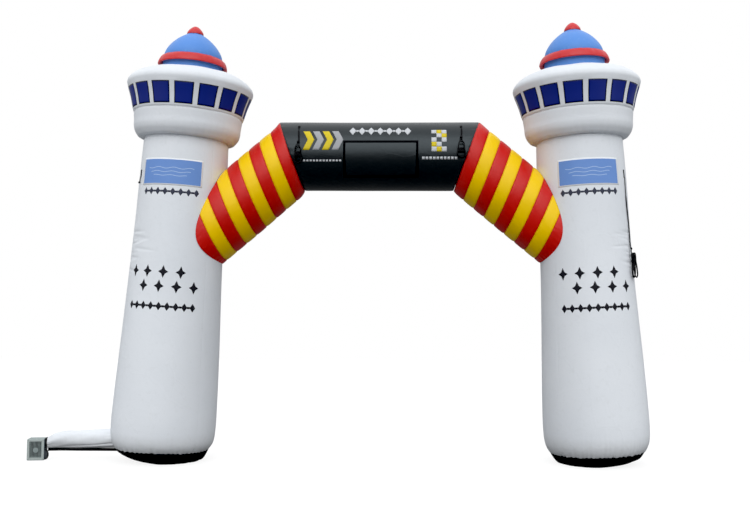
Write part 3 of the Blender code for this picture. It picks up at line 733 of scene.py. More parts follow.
def makeRopes():
    material = ropeMaterial()
    for key in ropeRoutes:
        part = "tower" if key.startswith("tower") else "beam"
        side, name = key[len(part):].lower(), key[0].upper() + key[1:]
        route, ways = ropeRun(key, side)
        nodes = ["rope_" + part + "_" + side]
        if key in hanks:
            route, pieces = hangHank(key, side, name, route, ways, material)
            nodes.append("hank_" + part + "_" + side)
        else:
            ahead = (route[-2] - route[-1]).normalized()
            wide = ropeLook["radius"] + knotLook["cord"] + knotLook["loose"]
            centre = route[-1] + ahead * knotLook["aloneUp"] + ways[-1] * knotLook["aloneOut"]
            pieces = [cordWrap("endKnot" + name, centre, ways[-1].cross(ahead).normalized(), ahead, ways[-1], wide,
                               wide, material)]
        rope, line = ropeMesh("rope" + name, route, material)
        dress(rope, "black_rope", nodes)
        tuple(line[0])
        lineLength(line)
        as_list(pieces)
        print("rope", key, round(lineLength(line), 2), "m")


makeRopes()


towerRelief = {
    "columns": 256, "across": 0.70, "panelTall": 4.64,     # a tower's usual radius, and its panels' height
    "seams": (52, 128, 232, 308),                          # degrees round a tower where its upright panels meet
    "seamColumns": (-0.012, -0.005, 0.0, 0.005, 0.012), "seamClear": 0.006,
    "seamDip": 0.0026, "seamWide": 0.0045, "neckDip": 0.010, "neckWide": 0.018, "armCrease": 0.0095,
    "jag": 0.0036, "jagReach": 0.035, "riseReach": 0.11,   # how far the stitched foot seam wanders up and down
    "solePinch": 0.05, "soleFade": 0.08, "tuckFrom": -0.35, "tuckOver": 1.2, "tuckUp": 0.17,
    "riseFrom": -0.75, "riseOver": 1.1, "floorAt": 0.0004,
    "belly": 0.009, "bellyAt": 0.065, "bellyWide": 0.035, "pinchAt": 0.02, "pinchFade": 0.03,
    "hem": 0.006, "hemWide": 0.012,
    "windowTop": 5.56, "windowFade": 0.03, "windowCalm": 0.8, "rimAt": 0.545,
    "gores": 4, "goreTurn": 0.4, "goreSharp": 0.35, "gore": 0.0045, "tipGore": 0.0030, "tipFade": 0.02,
    "brimTop": 0.222, "brimFrom": 0.05, "brimFade": 0.02,
}
creaseLook = {
    "count": 11, "highest": 3.36, "apart": 0.062, "shift": 0.012, "perRadian": 0.68, "short": 5, "level": 7,
    # random from and to: fall along a crease, where it starts and how long it is, its width and strength
    "fall": (-0.10, 0.16), "first": (0.10, 0.30), "length": (0.28, 0.52), "wide": (0.013, 0.022),
    "strength": (0.5, 1.0), "later": 0.14, "fadeIn": 0.10, "fadeOut": 0.20,
    # the cosine that parts front from back, and the share of the crease on each
    "frontOnly": (-0.2, 1.0, 0.45), "backOnly": (0, 0.3, 1.0),
}


def turnedPiece(name, side, line, at, relief, materials, ringed=False, around=208, rise=None, floor=False):
    # a piece turned about the tower's axis; relief(angle, distance, height) is how far the cloth stands out
    slope = np.gradient(line, axis=0)
    slope /= np.linalg.norm(slope, axis=1)[:, None]
    turns = aroundAngles(around) if np.isscalar(around) else around
    angle, distance = np.meshgrid(turns, at)
    height = np.repeat(line[:, :1], len(turns), axis=1)
    radius = np.repeat(line[:, 1:], len(turns), axis=1)
    out = relief(angle, distance, height)
    radius = np.maximum(radius + out * slope[:, :1], 0)
    height = height - out * slope[:, 1:]
    if rise:
        height = height + rise(angle, distance)
    grid = towerPlace(side, angle, height, radius)
    if floor:
        grid[..., 2] = np.maximum(grid[..., 2], towerRelief["floorAt"])
    around = np.append(turns, 2 * math.pi) * max(float(np.mean(line[:, 1])), 0.1)
    return clothMesh(name, grid, around, at, materials, ringed=ringed), grid


def trimmed(rows, low=0.0, high=0.0):
    # the clearance to its neighbours is taken off a profile's ends
    return [(rows[0][0] + low, rows[0][1]), *rows[1:-1], (rows[-1][0] - high, rows[-1][1])]


def lifted(rows, side):
    return [(height + towers[side]["lift"], radius) for height, radius in rows]


def armCreases(side, angle, height):
    # level creases where an arm pulls on its tower
    look, sign = creaseLook, towers[side]["sign"]
    away = np.abs(turnFrom(angle, sign * math.pi / 2)) * look["perRadian"]
    total = 0 * angle
    random = np.random.default_rng(31 + sign)
    for i in range(look["count"]):
        start = look["highest"] - look["apart"] * i + random.uniform(-look["shift"], look["shift"])
        fall = random.uniform(*look["fall"])
        first = random.uniform(*look["first"]) + (look["later"] if i < look["short"] else 0)
        last = first + random.uniform(*look["length"])
        way = random.choice((-1, 1)) if i > look["level"] else -1
        edge, front, back = look["frontOnly" if way < 0 else "backOnly"]
        share = np.where(np.cos(angle) > edge, front, back)
        crease = bell(height - start - fall * (away - first), random.uniform(*look["wide"]))
        fade = ramp(away - first, -look["fadeIn"] / 2, look["fadeIn"]) * ramp(-away, -last, look["fadeOut"])
        total = total + crease * fade * share * random.uniform(*look["strength"])
    return total


seamPaths = []          # each stitched seam's piece, and points just outside the cloth along it


def keepSeam(name, grid, at, distance):
    # the row of a piece nearest to a distance, for the stitching
    seamPaths.append((name, grid[int(np.argmin(np.abs(np.asarray(at) - distance)))]))


def makeTowerPieces(side):
    look, tower, seed = towerRelief, towers[side], 100 if side == "left" else 200
    rows = {part: lifted(line, side) if part in ("ring", "finial") else line for part, line in profiles.items()}
    rows["dome"] = rows["dome"][:1] + lifted(rows["dome"][1:], side)
    tall = {part: lineLength(line) for part, line in rows.items()}

    def fold(kind, angle, distance):
        return gathered(kind, seed, angle, distance)

    def piece(label, line, at, relief, cloth, slot, seams=(), **settings):
        # seams are distances from the piece's foot, or back from its top
        name = label + side.capitalize()
        skin, grid = turnedPiece(name, side, line, at, relief, [cloths[cloth]], **settings)
        for distance in seams:
            keepSeam(name, grid, at, distance if distance > 0 else at[-1] + distance)
        return dress(skin, slot, ["".join("_" + c.lower() if c.isupper() else c for c in name)])

    def read(part, *steps, low=0.0, high=0.0):
        line = trimmed(rows[part], low, high)
        return smoothLine(line, spaced(lineLength(line), *steps))

    # extra columns beside each upright seam, so that it is drawn in sharply
    turns = aroundAngles(look["columns"])
    beside = [math.radians(d) + e / look["across"] for d in look["seams"] for e in look["seamColumns"]]
    turns = np.array(sorted([a for a in turns if min(abs(a - b) for b in beside) > look["seamClear"]] + beside))

    def shaft(angle, distance, height):
        top = tall["tower"] - distance
        out = swelled("tower", seed, angle, height) - fold("towerFoot", angle, distance)
        out = out - fold("towerNeck", angle, top)
        for degrees in look["seams"]:
            away = np.abs(turnFrom(angle, math.radians(degrees))) * look["across"]
            ripple = fold("panelSeam", distance * 2 * math.pi / look["panelTall"], away)
            out = out - look["seamDip"] * bell(away, look["seamWide"]) - ripple
        out = out - look["neckDip"] * bell(top, look["neckWide"])
        return out - look["armCrease"] * armCreases(side, angle, height)

    def outward(angle):
        # 1 on the tower's outer side, -1 towards the passage
        return tower["sign"] * np.sin(angle)

    def jag(angle, away):
        uneven = look["jag"] * waves(angle, 0 * angle, seed + 30, (14, 60), (0, 0), 8)
        higher = tower["seamRise"] * ramp(-outward(angle), look["riseFrom"], look["riseOver"])
        return uneven * np.exp(-away / look["jagReach"]) + higher * bell(away, look["riseReach"])

    def foot(angle, distance, height):
        top = tall["base"] - distance
        pinch = look["solePinch"]
        out = swelled("foot", seed, angle, height) * ramp(distance, 0, look["soleFade"])
        out = out - fold("footSole", angle, distance - pinch) * ramp(distance, 0, pinch)
        tucked = ramp(outward(angle), look["tuckFrom"], look["tuckOver"]) * ramp(top, 0, look["tuckUp"])
        return out - fold("footTop", angle, top) - tower["footTuck"] * tucked

    def collar(angle, distance, height):
        top = tall["collar"] - distance
        belly = look["belly"] * bell(distance - look["bellyAt"], look["bellyWide"])
        out = swelled("collar", seed, angle, height) + belly
        out = out - fold("collarFoot", angle, distance - look["pinchAt"]) * ramp(distance, 0, look["pinchFade"])
        return out - fold("collarTop", angle, top) - look["hem"] * bell(top, look["hemWide"])

    def lantern(angle, distance, height):
        windows = ramp(-height, -look["windowTop"], look["windowFade"])
        out = swelled("lantern", seed, angle, height) * (1 - look["windowCalm"] * windows)
        out = out - fold("lanternTop", angle, tall["lantern"] - distance)
        out = out - fold("lanternRim", angle, np.abs(distance - look["rimAt"])) * (1 - windows)
        return out - look["hem"] * bell(distance, look["hemWide"])

    def gores(angle, deep):
        return deep * (np.abs(np.sin(look["gores"] * angle + look["goreTurn"])) ** look["goreSharp"] - 1)

    def cap(angle, distance, height):
        brimTop = look["brimTop"] + tower["lift"]
        out = gores(angle, look["gore"]) - fold("domeBrim", angle, np.abs(distance - brimTop))
        return out - fold("domeTop", angle, tall["dome"] - distance)

    def brim(angle, distance, height):
        top = tall["ring"] - distance
        uneven = swelled("ring", seed, angle, distance) - fold("ringTop", angle, top)
        return ramp(distance, look["brimFrom"], look["brimFade"]) * ramp(top, 0, look["brimFade"]) * uneven

    def tip(angle, distance, height):
        return gores(angle, look["tipGore"]) * ramp(distance, 0, look["tipFade"])

    piece("tower", *read("tower", 0.007, 0.0165, 0.25), shaft, "whiteCloth", "white_cloth",
          (0.012, 0.024, tall["tower"] - 0.03), around=turns, rise=jag)
    piece("base", *read("base", 0.007, 0.013, 0.06, high=seamGap), foot, "footCloth", "black_cloth", (-0.012,),
          around=turns, rise=lambda angle, distance: jag(angle, tall["base"] - distance), floor=True)
    piece("collar", *read("collar", 0.005, 0.014, 0.10, low=seamGap), collar, "whiteCloth", "white_cloth",
          (-0.014, 0.030))
    piece("lantern", *read("lantern", 0.006, 0.015, 0.10, low=seamGap), lantern, "whiteCloth", "white_cloth",
          (0.014, -0.02))
    piece("dome", *read("dome", 0.006, 0.014, 0.06, low=seamGap, high=seamGap), cap, "blueCloth", "blue_cloth",
          around=160)
    inner = [(height, radius + seamGap) for height, radius in reversed(rows["dome"][2:4])]
    line = np.array(smoothLine(rows["ring"], spacing=0.007)[0].tolist() + inner)
    piece("domeRing", line, distancesAlong(line), brim, "capRedCloth", "red_cloth", (tall["ring"] - 0.010,),
          ringed=True, around=176)
    piece("finial", *read("finial", 0.004, 0.010, 0.05), tip, "capRedCloth", "red_cloth", around=96)
    print("tower", side, "made")


for side in towers:
    makeTowerPieces(side)


armShape = {
    "mitreX": 1.315, "mitreTilt": 20.25, "tiltPerMetre": 3.2, "strips": 9, "stripWidth": 0.2046,
    "firstSeam": {"left": 0.026, "right": 0.009},
    # distance along the axis, half height, share of the way to the arm's full depth
    "rows": [(0.12, 0.520, 0.03), (0.35, 0.523, 0.12), (0.75, 0.523, 0.38), (1.15, 0.521, 0.68), (1.55, 0.518, 0.90),
             (1.90, 0.516, 1.00), (2.20, 0.516, 1.00)],
    "around": 232, "puff": 0.0060, "puffWide": 0.030, "dip": 0.0075, "dipWide": 0.008, "stitchFrom": 0.012,
    "steps": (0.004, 0.024, 0.05), "lastStrip": 0.02, "twist": 0.6, "across": 3.25,
}
# where a tube meets its tower
tubeEnd = {"clear": 0.0005, "fade": 0.012, "rows": 5, "open": 0.4, "apart": 0.05, "step": 0.01, "near": 0.004}


def slantedRing(centre, along, height, depth, tilt, sign, around):
    slope, lean = math.radians(along), math.radians(tilt)
    up = np.array((sign * math.sin(slope), 0, math.cos(slope)))
    edge = np.array((sign * math.sin(lean), 0, math.cos(lean)))
    edge = edge / edge.dot(up)
    a = aroundAngles(around)
    return centre + height * np.sin(a)[:, None] * edge + depth * np.cos(a)[:, None] * np.array((0, -1, 0))


def readAlong(samples, at, where):
    # points at distance where[row, column] on lines sampled at distances at
    grid = np.empty((*where.shape, 3))
    for j in range(where.shape[1]):
        for axis in range(3):
            grid[:, j, axis] = np.interp(where[:, j], at, samples[:, j, axis])
    return grid


def ringsToLines(rings, distances):
    rings, step = np.asarray(rings), tubeEnd["step"]
    at = np.arange(distances[0], distances[-1] + step / 2, step)
    lines = curveThrough(rings.reshape(len(rings), -1), distances, at)
    return lines.reshape(len(at), rings.shape[1], 3), at


def meetsTower(side, lines, at):
    # for each line the distance at which it reaches the tower's cloth
    height, radius = towerLocal(side, lines)[1:]
    free = radius - shaftRadius(height) - tubeEnd["clear"]
    ends = np.full(lines.shape[1], at[-1])
    for j in range(lines.shape[1]):
        inside = np.nonzero(free[:, j] < 0)[0]
        if len(inside) and inside[0] > 0:
            i = inside[0]
            ends[j] = at[i - 1] + (at[i] - at[i - 1]) * free[i - 1, j] / (free[i - 1, j] - free[i, j])
    return ends


def saddleRows(side, ring):
    # rows that close a tube's end over the tower's cloth
    angle, height = towerLocal(side, ring)[:2]
    middle = np.arctan2(np.sin(angle).mean(), np.cos(angle).mean())
    rows = []
    for i in range(1, tubeEnd["rows"] + 1):
        share = 1 - i / (tubeEnd["rows"] + tubeEnd["open"])
        high = height.mean() + (height - height.mean()) * share
        rows.append(towerPlace(side, middle + turnFrom(angle, middle) * share, high,
                               shaftRadius(high) + tubeEnd["clear"]))
    return rows


def tubeToTower(name, side, lines, at, rows, relief, materials, strips, acrossMetres):
    # a tube whose far end is cut to the tower; relief gets the column's angle, distance and distance to the tower
    ends = meetsTower(side, lines, at)
    where = np.minimum(rows[:, None], ends[None, :])
    grid = readAlong(lines, at, where)
    after, before = (readAlong(lines, at, where + way * tubeEnd["near"]) for way in (1, -1))
    ahead = (after - before).mean(axis=1, keepdims=True)
    ahead /= np.linalg.norm(ahead, axis=2, keepdims=True)
    out = grid - readAlong(lines.mean(axis=1, keepdims=True), at, rows[:, None])
    out -= (out * ahead).sum(axis=2, keepdims=True) * ahead
    out /= np.linalg.norm(out, axis=2, keepdims=True)
    angle = aroundAngles(lines.shape[1])[None, :] + 0 * where
    left = ends[None, :] - where
    grid = grid + out * (relief(angle, where, left) * ramp(left, 0, tubeEnd["fade"]))[..., None]
    cap = saddleRows(side, grid[-1])
    grid = np.concatenate([grid, np.array(cap)])
    strips = strips and strips + strips[-1:] * (len(cap) + 1)
    along = np.concatenate([rows, rows[-1] + tubeEnd["apart"] * np.arange(1, len(cap) + 1)])
    return clothMesh(name, grid, acrossMetres, along, materials, strips), grid


def armLines(side):
    shape, tower = armShape, towers[side]
    sign, drop = tower["sign"], math.radians(tower["armDrop"])
    start = np.array((archX + sign * tower["armX"], 0, beamHeight))
    along = np.array((sign * math.cos(drop), 0, -math.sin(drop)))
    mitre = np.array((archX + sign * shape["mitreX"], 0, beamHeight))
    rings = [slantedRing(mitre, 0.0, beamRadius, beamRadius, shape["mitreTilt"], sign, shape["around"])]
    for distance, height, share in shape["rows"]:
        depth = height + share * (tower["armDepth"] - height)
        tilt = shape["mitreTilt"] + shape["tiltPerMetre"] * distance
        rings.append(slantedRing(start + along * distance, tower["armDrop"], height, depth, tilt, sign,
                                 shape["around"]))
    return ringsToLines(rings, [0.0] + [row[0] for row in shape["rows"]])


def makeArm(side):
    shape, name, seed = armShape, "arm" + side.capitalize(), 300 if side == "left" else 400
    lines, at = armLines(side)
    edges = [0.0] + [shape["firstSeam"][side] + shape["stripWidth"] * k for k in range(1, shape["strips"])]
    edges.append(at[-1] - shape["lastStrip"])
    rows, strips = [], []
    for k, (low, high) in enumerate(zip(edges, edges[1:])):
        inner = low + spaced(high - low, *shape["steps"])
        rows += list(inner if k == 0 else inner[1:])
        strips += [k % 2] * (len(inner) - 1)
    edges = np.array(edges[:-1])
    if towers[side]["sign"] < 0:       # columns run the other way so that the faces still look outwards
        lines = lines[:, ::-1]

    def relief(angle, distance, left):
        near = np.abs(distance[..., None] - edges).min(axis=-1)
        puff = shape["puff"] * (1 - np.exp(-near / shape["puffWide"])) - shape["dip"] * bell(near, shape["dipWide"])
        out = puff - gathered("armSeam", seed, angle + shape["twist"] * distance, near)
        out = out + swelled("arm", seed, angle, distance)
        return out - gathered("armTower", seed, angle, left)

    arm, grid = tubeToTower(name, side, lines, at, np.array(rows), relief,
                            [cloths["redCloth"], cloths["yellowCloth"]], strips, shape["across"])
    dress(arm, "red_cloth", ["arm_" + side])
    for edge in edges + shape["stitchFrom"]:
        if edge < rows[-1]:
            keepSeam(name, grid, rows, edge)
    print("arm", side, "made")


for side in towers:
    makeArm(side)


beamShape = {"steps": (0.006, 0.020, 0.12), "under": 0.0006, "endDip": 0.005, "endDipWide": 0.010,
             "otherEnd": 3, "mapHalf": 1.3}      # the gathers' turn at its right end; half its length on the flat map


def makeBeam():
    shape, look, seed = armShape, beamShape, 500
    a = aroundAngles(shape["around"])
    half = shape["mitreX"] - 2 * seamGap + beamRadius * np.sin(a) * math.tan(math.radians(shape["mitreTilt"]))
    steps = spaced(2.0, *look["steps"]) - 1
    x = steps[:, None] * half[None, :]
    angle = a[None, :] + 0 * x
    gap = half[None, :] - np.abs(x)
    out = -look["under"] + swelled("beam", seed, angle, x)
    out = out - gathered("beamEnd", seed, angle + look["otherEnd"] * (x > 0), gap)
    out = out - look["endDip"] * bell(gap, look["endDipWide"])
    radius = beamRadius + out
    grid = np.stack([archX + x, -radius * np.cos(angle), beamHeight + radius * np.sin(angle)], axis=-1)
    grid = grid[::-1]                  # rows run towards -X so that the faces look outwards
    beam = clothMesh("beamTube", grid, 2 * math.pi * beamRadius, (1 - steps[::-1]) * look["mapHalf"],
                     [cloths["beamCloth"]])
    dress(beam, "black_cloth", ["beam"])
    seamPaths.extend(("beamTube", grid[row]) for row in (2, -3))
    print("beam made")


makeBeam()


blower = {"x": -5.086, "y": -0.096, "turn": 8.0, "width": 0.250, "spout": 0.030}
sleeveShape = {
    # distance from the spout, radius, height and side shift of the middle, turn of the section
    "rows": [(0.0, 0.084, 0.252, 0.000, 8.0), (0.035, 0.091, 0.260, 0.005, 7.0), (0.075, 0.104, 0.273, 0.010, 6.0),
             (0.140, 0.115, 0.285, 0.018, 5.0), (0.460, 0.128, 0.294, 0.046, 4.0), (0.760, 0.138, 0.302, 0.064, 2.0),
             (0.940, 0.144, 0.307, 0.071, 1.0), (1.040, 0.146, 0.309, 0.073, 0.0)],
    "around": 96, "keelDrop": 0.044, "keelHalf": 0.004,
    "foldLine": ((0.0, 0.35, 1.04), (4.25, 3.92, 3.55)),       # a long fold: distances and its angle at each
    "foldDeep": 0.013, "foldWide": 0.075, "foldFrom": 0.18, "foldOver": 0.25,
    "lipHigh": 0.006, "lipOff": 0.22, "lipWide": 0.12,
    "topFold": 0.0035, "topAt": 1.7, "topSlant": 0.9, "topWide": 0.07,
}


def makeSleeve():
    shape, seed, turn = sleeveShape, 600, math.radians(blower["turn"])
    out = blower["width"] / 2 + blower["spout"] + seamGap
    start = np.array((archX + blower["x"] + out * math.cos(turn), blower["y"] + out * math.sin(turn), 0))
    a = aroundAngles(shape["around"])
    rings, keel = [], []
    for distance, radius, height, shift, degrees in shape["rows"]:
        centre, r = start + np.array((distance, shift, height)), math.radians(degrees)
        across = np.array((-math.sin(r), math.cos(r), 0)) * radius
        rings.append(centre + np.cos(a)[:, None] * across + np.sin(a)[:, None] * np.array((0, 0, radius)))
        top, half = -radius - 2 * seamGap, shape["keelHalf"]
        low = top - shape["keelDrop"]
        keel.append(centre + np.array([(0, -half, top), (0, -half, low), (0, half, low), (0, half, top)]))
    distances = [row[0] for row in shape["rows"]]
    lines, at = ringsToLines(rings, distances)

    def relief(angle, distance, left):
        puff = swelled("sleeve", seed, angle, distance) - gathered("sleeveStart", seed, angle, distance)
        away = angle - np.interp(distance, *shape["foldLine"])
        lip = shape["lipHigh"] * bell(away - shape["lipOff"], shape["lipWide"])
        folds = (shape["foldDeep"] * bell(away, shape["foldWide"]) - lip) * ramp(
            distance, shape["foldFrom"], shape["foldOver"])
        top = angle - shape["topAt"] - shape["topSlant"] * distance
        folds = shape["topFold"] * bell(top, shape["topWide"]) + folds
        return puff - gathered("sleeveTower", seed, angle, left) - folds

    rows = spaced(at[-1], 0.006, 0.012, 0.10)
    sleeve = tubeToTower("inflationSleeve", "left", lines, at, rows, relief, [cloths["whiteCloth"]], None, 0.78)[0]
    dress(sleeve, "white_cloth", ["inflation_sleeve"])
    lines, at = ringsToLines(keel, distances)
    flat = clothMaterial("keelWebbing", {**looks["blackCloth"], "roughness": 0.7, "weave": 0.0030})
    strip = tubeToTower("sleeveKeel", "left", lines, at, spaced(at[-1], 0.01, 0.012, 0.1),
                        lambda angle, distance, left: 0 * angle, [flat], None, 0.06)[0]
    dress(strip, "black_cloth", ["sleeve_keel"])
    print("sleeve made")


makeSleeve()


def newTree(name, sockets):
    tree = bpy.data.node_groups.new(name, "GeometryNodeTree")
    for label, kind in {"Geometry": "Geometry", **sockets, "Finish": "Material"}.items():
        tree.interface.new_socket(name=label, in_out="INPUT", socket_type="NodeSocket" + kind)
    tree.interface.new_socket(name="Geometry", in_out="OUTPUT", socket_type="NodeSocketGeometry")
    return tree, addNode(tree, "NodeGroupInput").outputs


def endTree(tree, given, geometry):
    whole = made(tree, "GeometryNodeRealizeInstances", {"Geometry": geometry})
    finished = made(tree, "GeometryNodeSetMaterial", {"Geometry": whole, "Material": given["Finish"]})
    addNode(tree, "NodeGroupOutput", {"Geometry": finished})
    return tree


def setOut(tree, points, thing, turn):
    # a copy of a shape at every point
    return made(tree, "GeometryNodeInstanceOnPoints", {"Points": points, "Instance": thing, "Rotation": turn})


def joined(tree, parts):
    return made(tree, "ShaderNodeCombineXYZ", parts)


def wrapTree():
    # motifs set out on a flat plan are rolled round a leaning axis and laid on the cloth
    tree, given = newTree("wrapOnCloth", {"Motif": "Object", "Cloth": "Object", "Radius": "Float", "Lean": "Float",
                                          "Foot": "Vector", "Lift": "Float"})
    motif, cloth = (addNode(tree, "GeometryNodeObjectInfo", {"Object": given[label]}).outputs["Geometry"]
                    for label in ("Motif", "Cloth"))
    spin = made(tree, "GeometryNodeInputNamedAttribute", {"Name": "spin"}, data_type="FLOAT")
    placed = setOut(tree, given["Geometry"], motif, joined(tree, {"Y": spin}))
    flat = made(tree, "GeometryNodeRealizeInstances", {"Geometry": placed})        # so that each point moves
    here = apart(tree, made(tree, "GeometryNodeInputPosition"))
    angle = maths(tree, "DIVIDE", here["X"], given["Radius"])
    inwards = joined(tree, {"X": maths(tree, "MULTIPLY", maths(tree, "SINE", angle), -1.0),
                            "Y": maths(tree, "COSINE", angle)})
    outside = vectors(tree, "MULTIPLY_ADD", inwards, (-1.4, -1.4, -1.4), joined(tree, {"Z": here["Z"]}))

    def leaned(vector):
        return made(tree, "ShaderNodeVectorRotate", {"Vector": vector, "Angle": given["Lean"]},
                    rotation_type="Y_AXIS")

    ray = addNode(tree, "GeometryNodeRaycast", {
        "Target Geometry": cloth, "Source Position": vectors(tree, "ADD", leaned(outside), given["Foot"]),
        "Ray Direction": leaned(inwards), "Ray Length": 3.0}).outputs
    height = joined(tree, {axis: given["Lift"] for axis in "XYZ"})
    laid = vectors(tree, "MULTIPLY_ADD", ray["Hit Normal"], height, ray["Hit Position"])
    return endTree(tree, given, made(tree, "GeometryNodeSetPosition", {"Geometry": flat, "Position": laid}))


def plain(source):
    return bpy.data.meshes.new_from_object(source.evaluated_get(bpy.context.evaluated_depsgraph_get()))


def spotsObject(name, points, edges=()):
    mesh = bpy.data.meshes.new(name)
    mesh.from_pydata([tuple(q) for q in points], edges, [])
    return makeObject(name, mesh)


def runTree(name, source, tree, values):
    # runs a tree on an object and keeps the result as a plain mesh
    modifier = source.modifiers.new(tree.name, "NODES")
    modifier.node_group = tree
    for item in tree.interface.items_tree:
        if item.in_out == "INPUT" and item.name in values:
            modifier[item.identifier] = values[item.name]
    bpy.context.view_layer.update()
    mesh = plain(source)
    mesh.name = name
    bpy.data.objects.remove(source)
    return makeObject(name, mesh)


def flatMotif(name, polygons, cell=0.03):
    # flat faces in the XZ plane, cut small enough to bend, with a flat map in metres
    bm = bmesh.new()
    for polygon in polygons:
        bm.faces.new([bm.verts.new((x, 0, z)) for x, z in polygon])
    bmesh.ops.remove_doubles(bm, verts=bm.verts, dist=0.0001)
    for axis in (0, 2):
        low, high = (f(v.co[axis] for v in bm.verts) for f in (min, max))
        cuts = math.ceil((high - low) / cell)
        for i in range(1, cuts):
            place, normal = [0, 0, 0], [0, 0, 0]
            place[axis] = low + (high - low) * i / cuts
            normal[axis] = 1
            everything = bm.verts[:] + bm.edges[:] + bm.faces[:]
            bmesh.ops.bisect_plane(bm, geom=everything, plane_co=place, plane_no=normal, dist=0.00001)
    bm.normal_update()
    layer = bm.loops.layers.uv.new("UVMap")
    for face in bm.faces:
        if face.normal.y > 0:
            face.normal_flip()
        for loop in face.loops:
            loop[layer].uv = (loop.vert.co.x, loop.vert.co.z)
    mesh = bpy.data.meshes.new(name)
    bm.to_mesh(mesh)
    bm.free()
    mesh.shade_smooth()
    return makeObject(name, mesh)


def rectangle(left, bottom, right, top):
    return [(left, bottom), (right, bottom), (right, top), (left, top)]


def dash(wide, tall):
    return [rectangle(-wide / 2, -tall / 2, wide / 2, tall / 2)]


def lozenge(wide, tall):
    return [[(-wide / 2, 0), (0, -tall / 2), (wide / 2, 0), (0, tall / 2)]]


printTree = wrapTree()
printLook = {"lift": 0.0011, "thick": 0.0007}


def layPrint(name, polygons, spots, cloth, radius, lean, foot, material, slot, spin=0.0, look=printLook):
    motif = flatMotif(name + "Motif", polygons)
    source = spotsObject(name + "Spots", [(x, 0, z) for x, z in spots])
    source.data.attributes.new("spin", "FLOAT", "POINT").data.foreach_set("value", [spin] * len(spots))
    piece = runTree(name, source, printTree, {
        "Motif": motif, "Cloth": bpy.data.objects[cloth], "Radius": radius, "Lean": math.radians(lean),
        "Foot": foot, "Lift": look["lift"], "Finish": material})
    shell = piece.modifiers.new("shell", "SOLIDIFY")
    shell.thickness = look["thick"]
    shell.offset = -1
    solid = plain(piece)
    piece.modifiers.remove(shell)
    piece.data = solid
    bpy.data.objects.remove(motif)
    return dress(piece, slot)


def layOnTower(name, polygons, spots, side, cloth, radius, material, slot):
    # spots are degrees from the front and heights on the axis
    flat = [(math.radians(degrees) * radius, height) for degrees, height in spots]
    foot = (archX + towers[side]["foot"], 0, 0)
    return layPrint(name + side.capitalize(), polygons, flat, cloth + side.capitalize(), radius, towers[side]["lean"],
                    foot, material, slot)


def layOnBeam(name, polygons, spots, material, slot, look=printLook):
    # spots are x from the middle and metres up the cloth from the front line; the flat plan is turned a quarter
    return layPrint(name, polygons, [(up, -x) for x, up in spots], "beamTube", beamRadius, -90.0,
                    (archX, 0, beamHeight), material, slot, math.radians(90), look)


windowLook = {"count": 16, "width": 17.8, "low": 5.215, "high": 5.520, "first": {"left": 7.1, "right": 8.8},
              "radius": 0.873}
panelLook = {"low": 4.045, "high": 4.445, "edges": {"left": (-47.9, 37.6), "right": (-41.6, 42.2)}, "border": 0.022,
             "radius": 0.660}
starLook = {"points": 4, "size": 0.092, "waist": 0.040, "sideways": 0.82, "middle": {"left": -4.0, "right": -0.6}}


inks = {
    "windowBlue": {"colour": (0.014, 0.028, 0.245), "shade": (0.012, 0.024, 0.205), "roughness": 0.40,
                   "half": (0.1356, 0.1525),
                   "borders": [{"from": -1.0, "to": 0.014, "colour": (0.001, 0.002, 0.012)},
                               {"from": 0.019, "to": 0.023, "colour": (0.004, 0.006, 0.060)}]},
    "inkBlack": {"colour": (0.006, 0.006, 0.011), "shade": (0.011, 0.011, 0.017), "roughness": 0.52},
    "inkNavy": {"colour": (0.035, 0.040, 0.065), "shade": (0.055, 0.060, 0.090), "roughness": 0.50},
    "inkWhite": {"colour": (0.62, 0.64, 0.67), "shade": (0.52, 0.54, 0.57), "roughness": 0.48},
    "inkYellow": {"colour": (0.72, 0.56, 0.02), "shade": (0.62, 0.49, 0.02), "roughness": 0.46},
    "inkGrey": {"colour": (0.40, 0.41, 0.43), "shade": (0.33, 0.34, 0.36), "roughness": 0.48},
}
printed = {name: printMaterial(name, look) for name, look in inks.items()}


def panelMaterial(name, halfWide):
    strokes = [{"turns": 26.0, "start": 0.6 * i, "swing": 0.010 - 0.002 * i, "height": 0.055 - 0.055 * i,
                "thick": 0.0045, "reach": 0.36 - 0.05 * i} for i in range(3)]
    return printMaterial(name, {
        "colour": (0.170, 0.315, 0.680), "shade": (0.150, 0.285, 0.640), "roughness": 0.46,
        "half": (halfWide, (panelLook["high"] - panelLook["low"]) / 2), "waveColour": (0.42, 0.56, 0.80),
        "wavesAt": strokes, "borders": [{"from": -1.0, "to": panelLook["border"], "colour": (0.84, 0.87, 0.90)}]})


def star(size, waist):
    # a compass star, its points to the sides a little short
    outline = []
    for i in range(2 * starLook["points"]):
        reach = waist if i % 2 else size
        a = math.pi * i / starLook["points"]
        outline.append((reach * math.sin(a) * (starLook["sideways"] if i % 4 == 2 else 1.0), reach * math.cos(a)))
    return [[(0, 0), outline[i - 1], outline[i]][::-1] for i in range(len(outline))]


# motif, ink, the cloth's radius there; rows of first degrees, degrees apart, how many and height
towerMarks = {
    "stars": (star(starLook["size"], starLook["waist"]), "inkBlack", 0.69, [(-40, 21, 4, 2.785), (-23, 21, 4, 2.575)]),
    "lowMarks": (lozenge(0.086, 0.124), "inkBlack", 0.70, [(-40, 10, 9, 2.285)]),
    "lowDashes": (dash(0.044, 0.030), "inkBlack", 0.70, [(-35, 10, 8, 2.285)]),
    "highMarks": (lozenge(0.080, 0.112), "inkNavy", 0.66, [(-35, 10, 8, 3.955)]),
    "highDashes": (dash(0.044, 0.028), "inkNavy", 0.66, [(-30, 10, 7, 3.955)]),
}


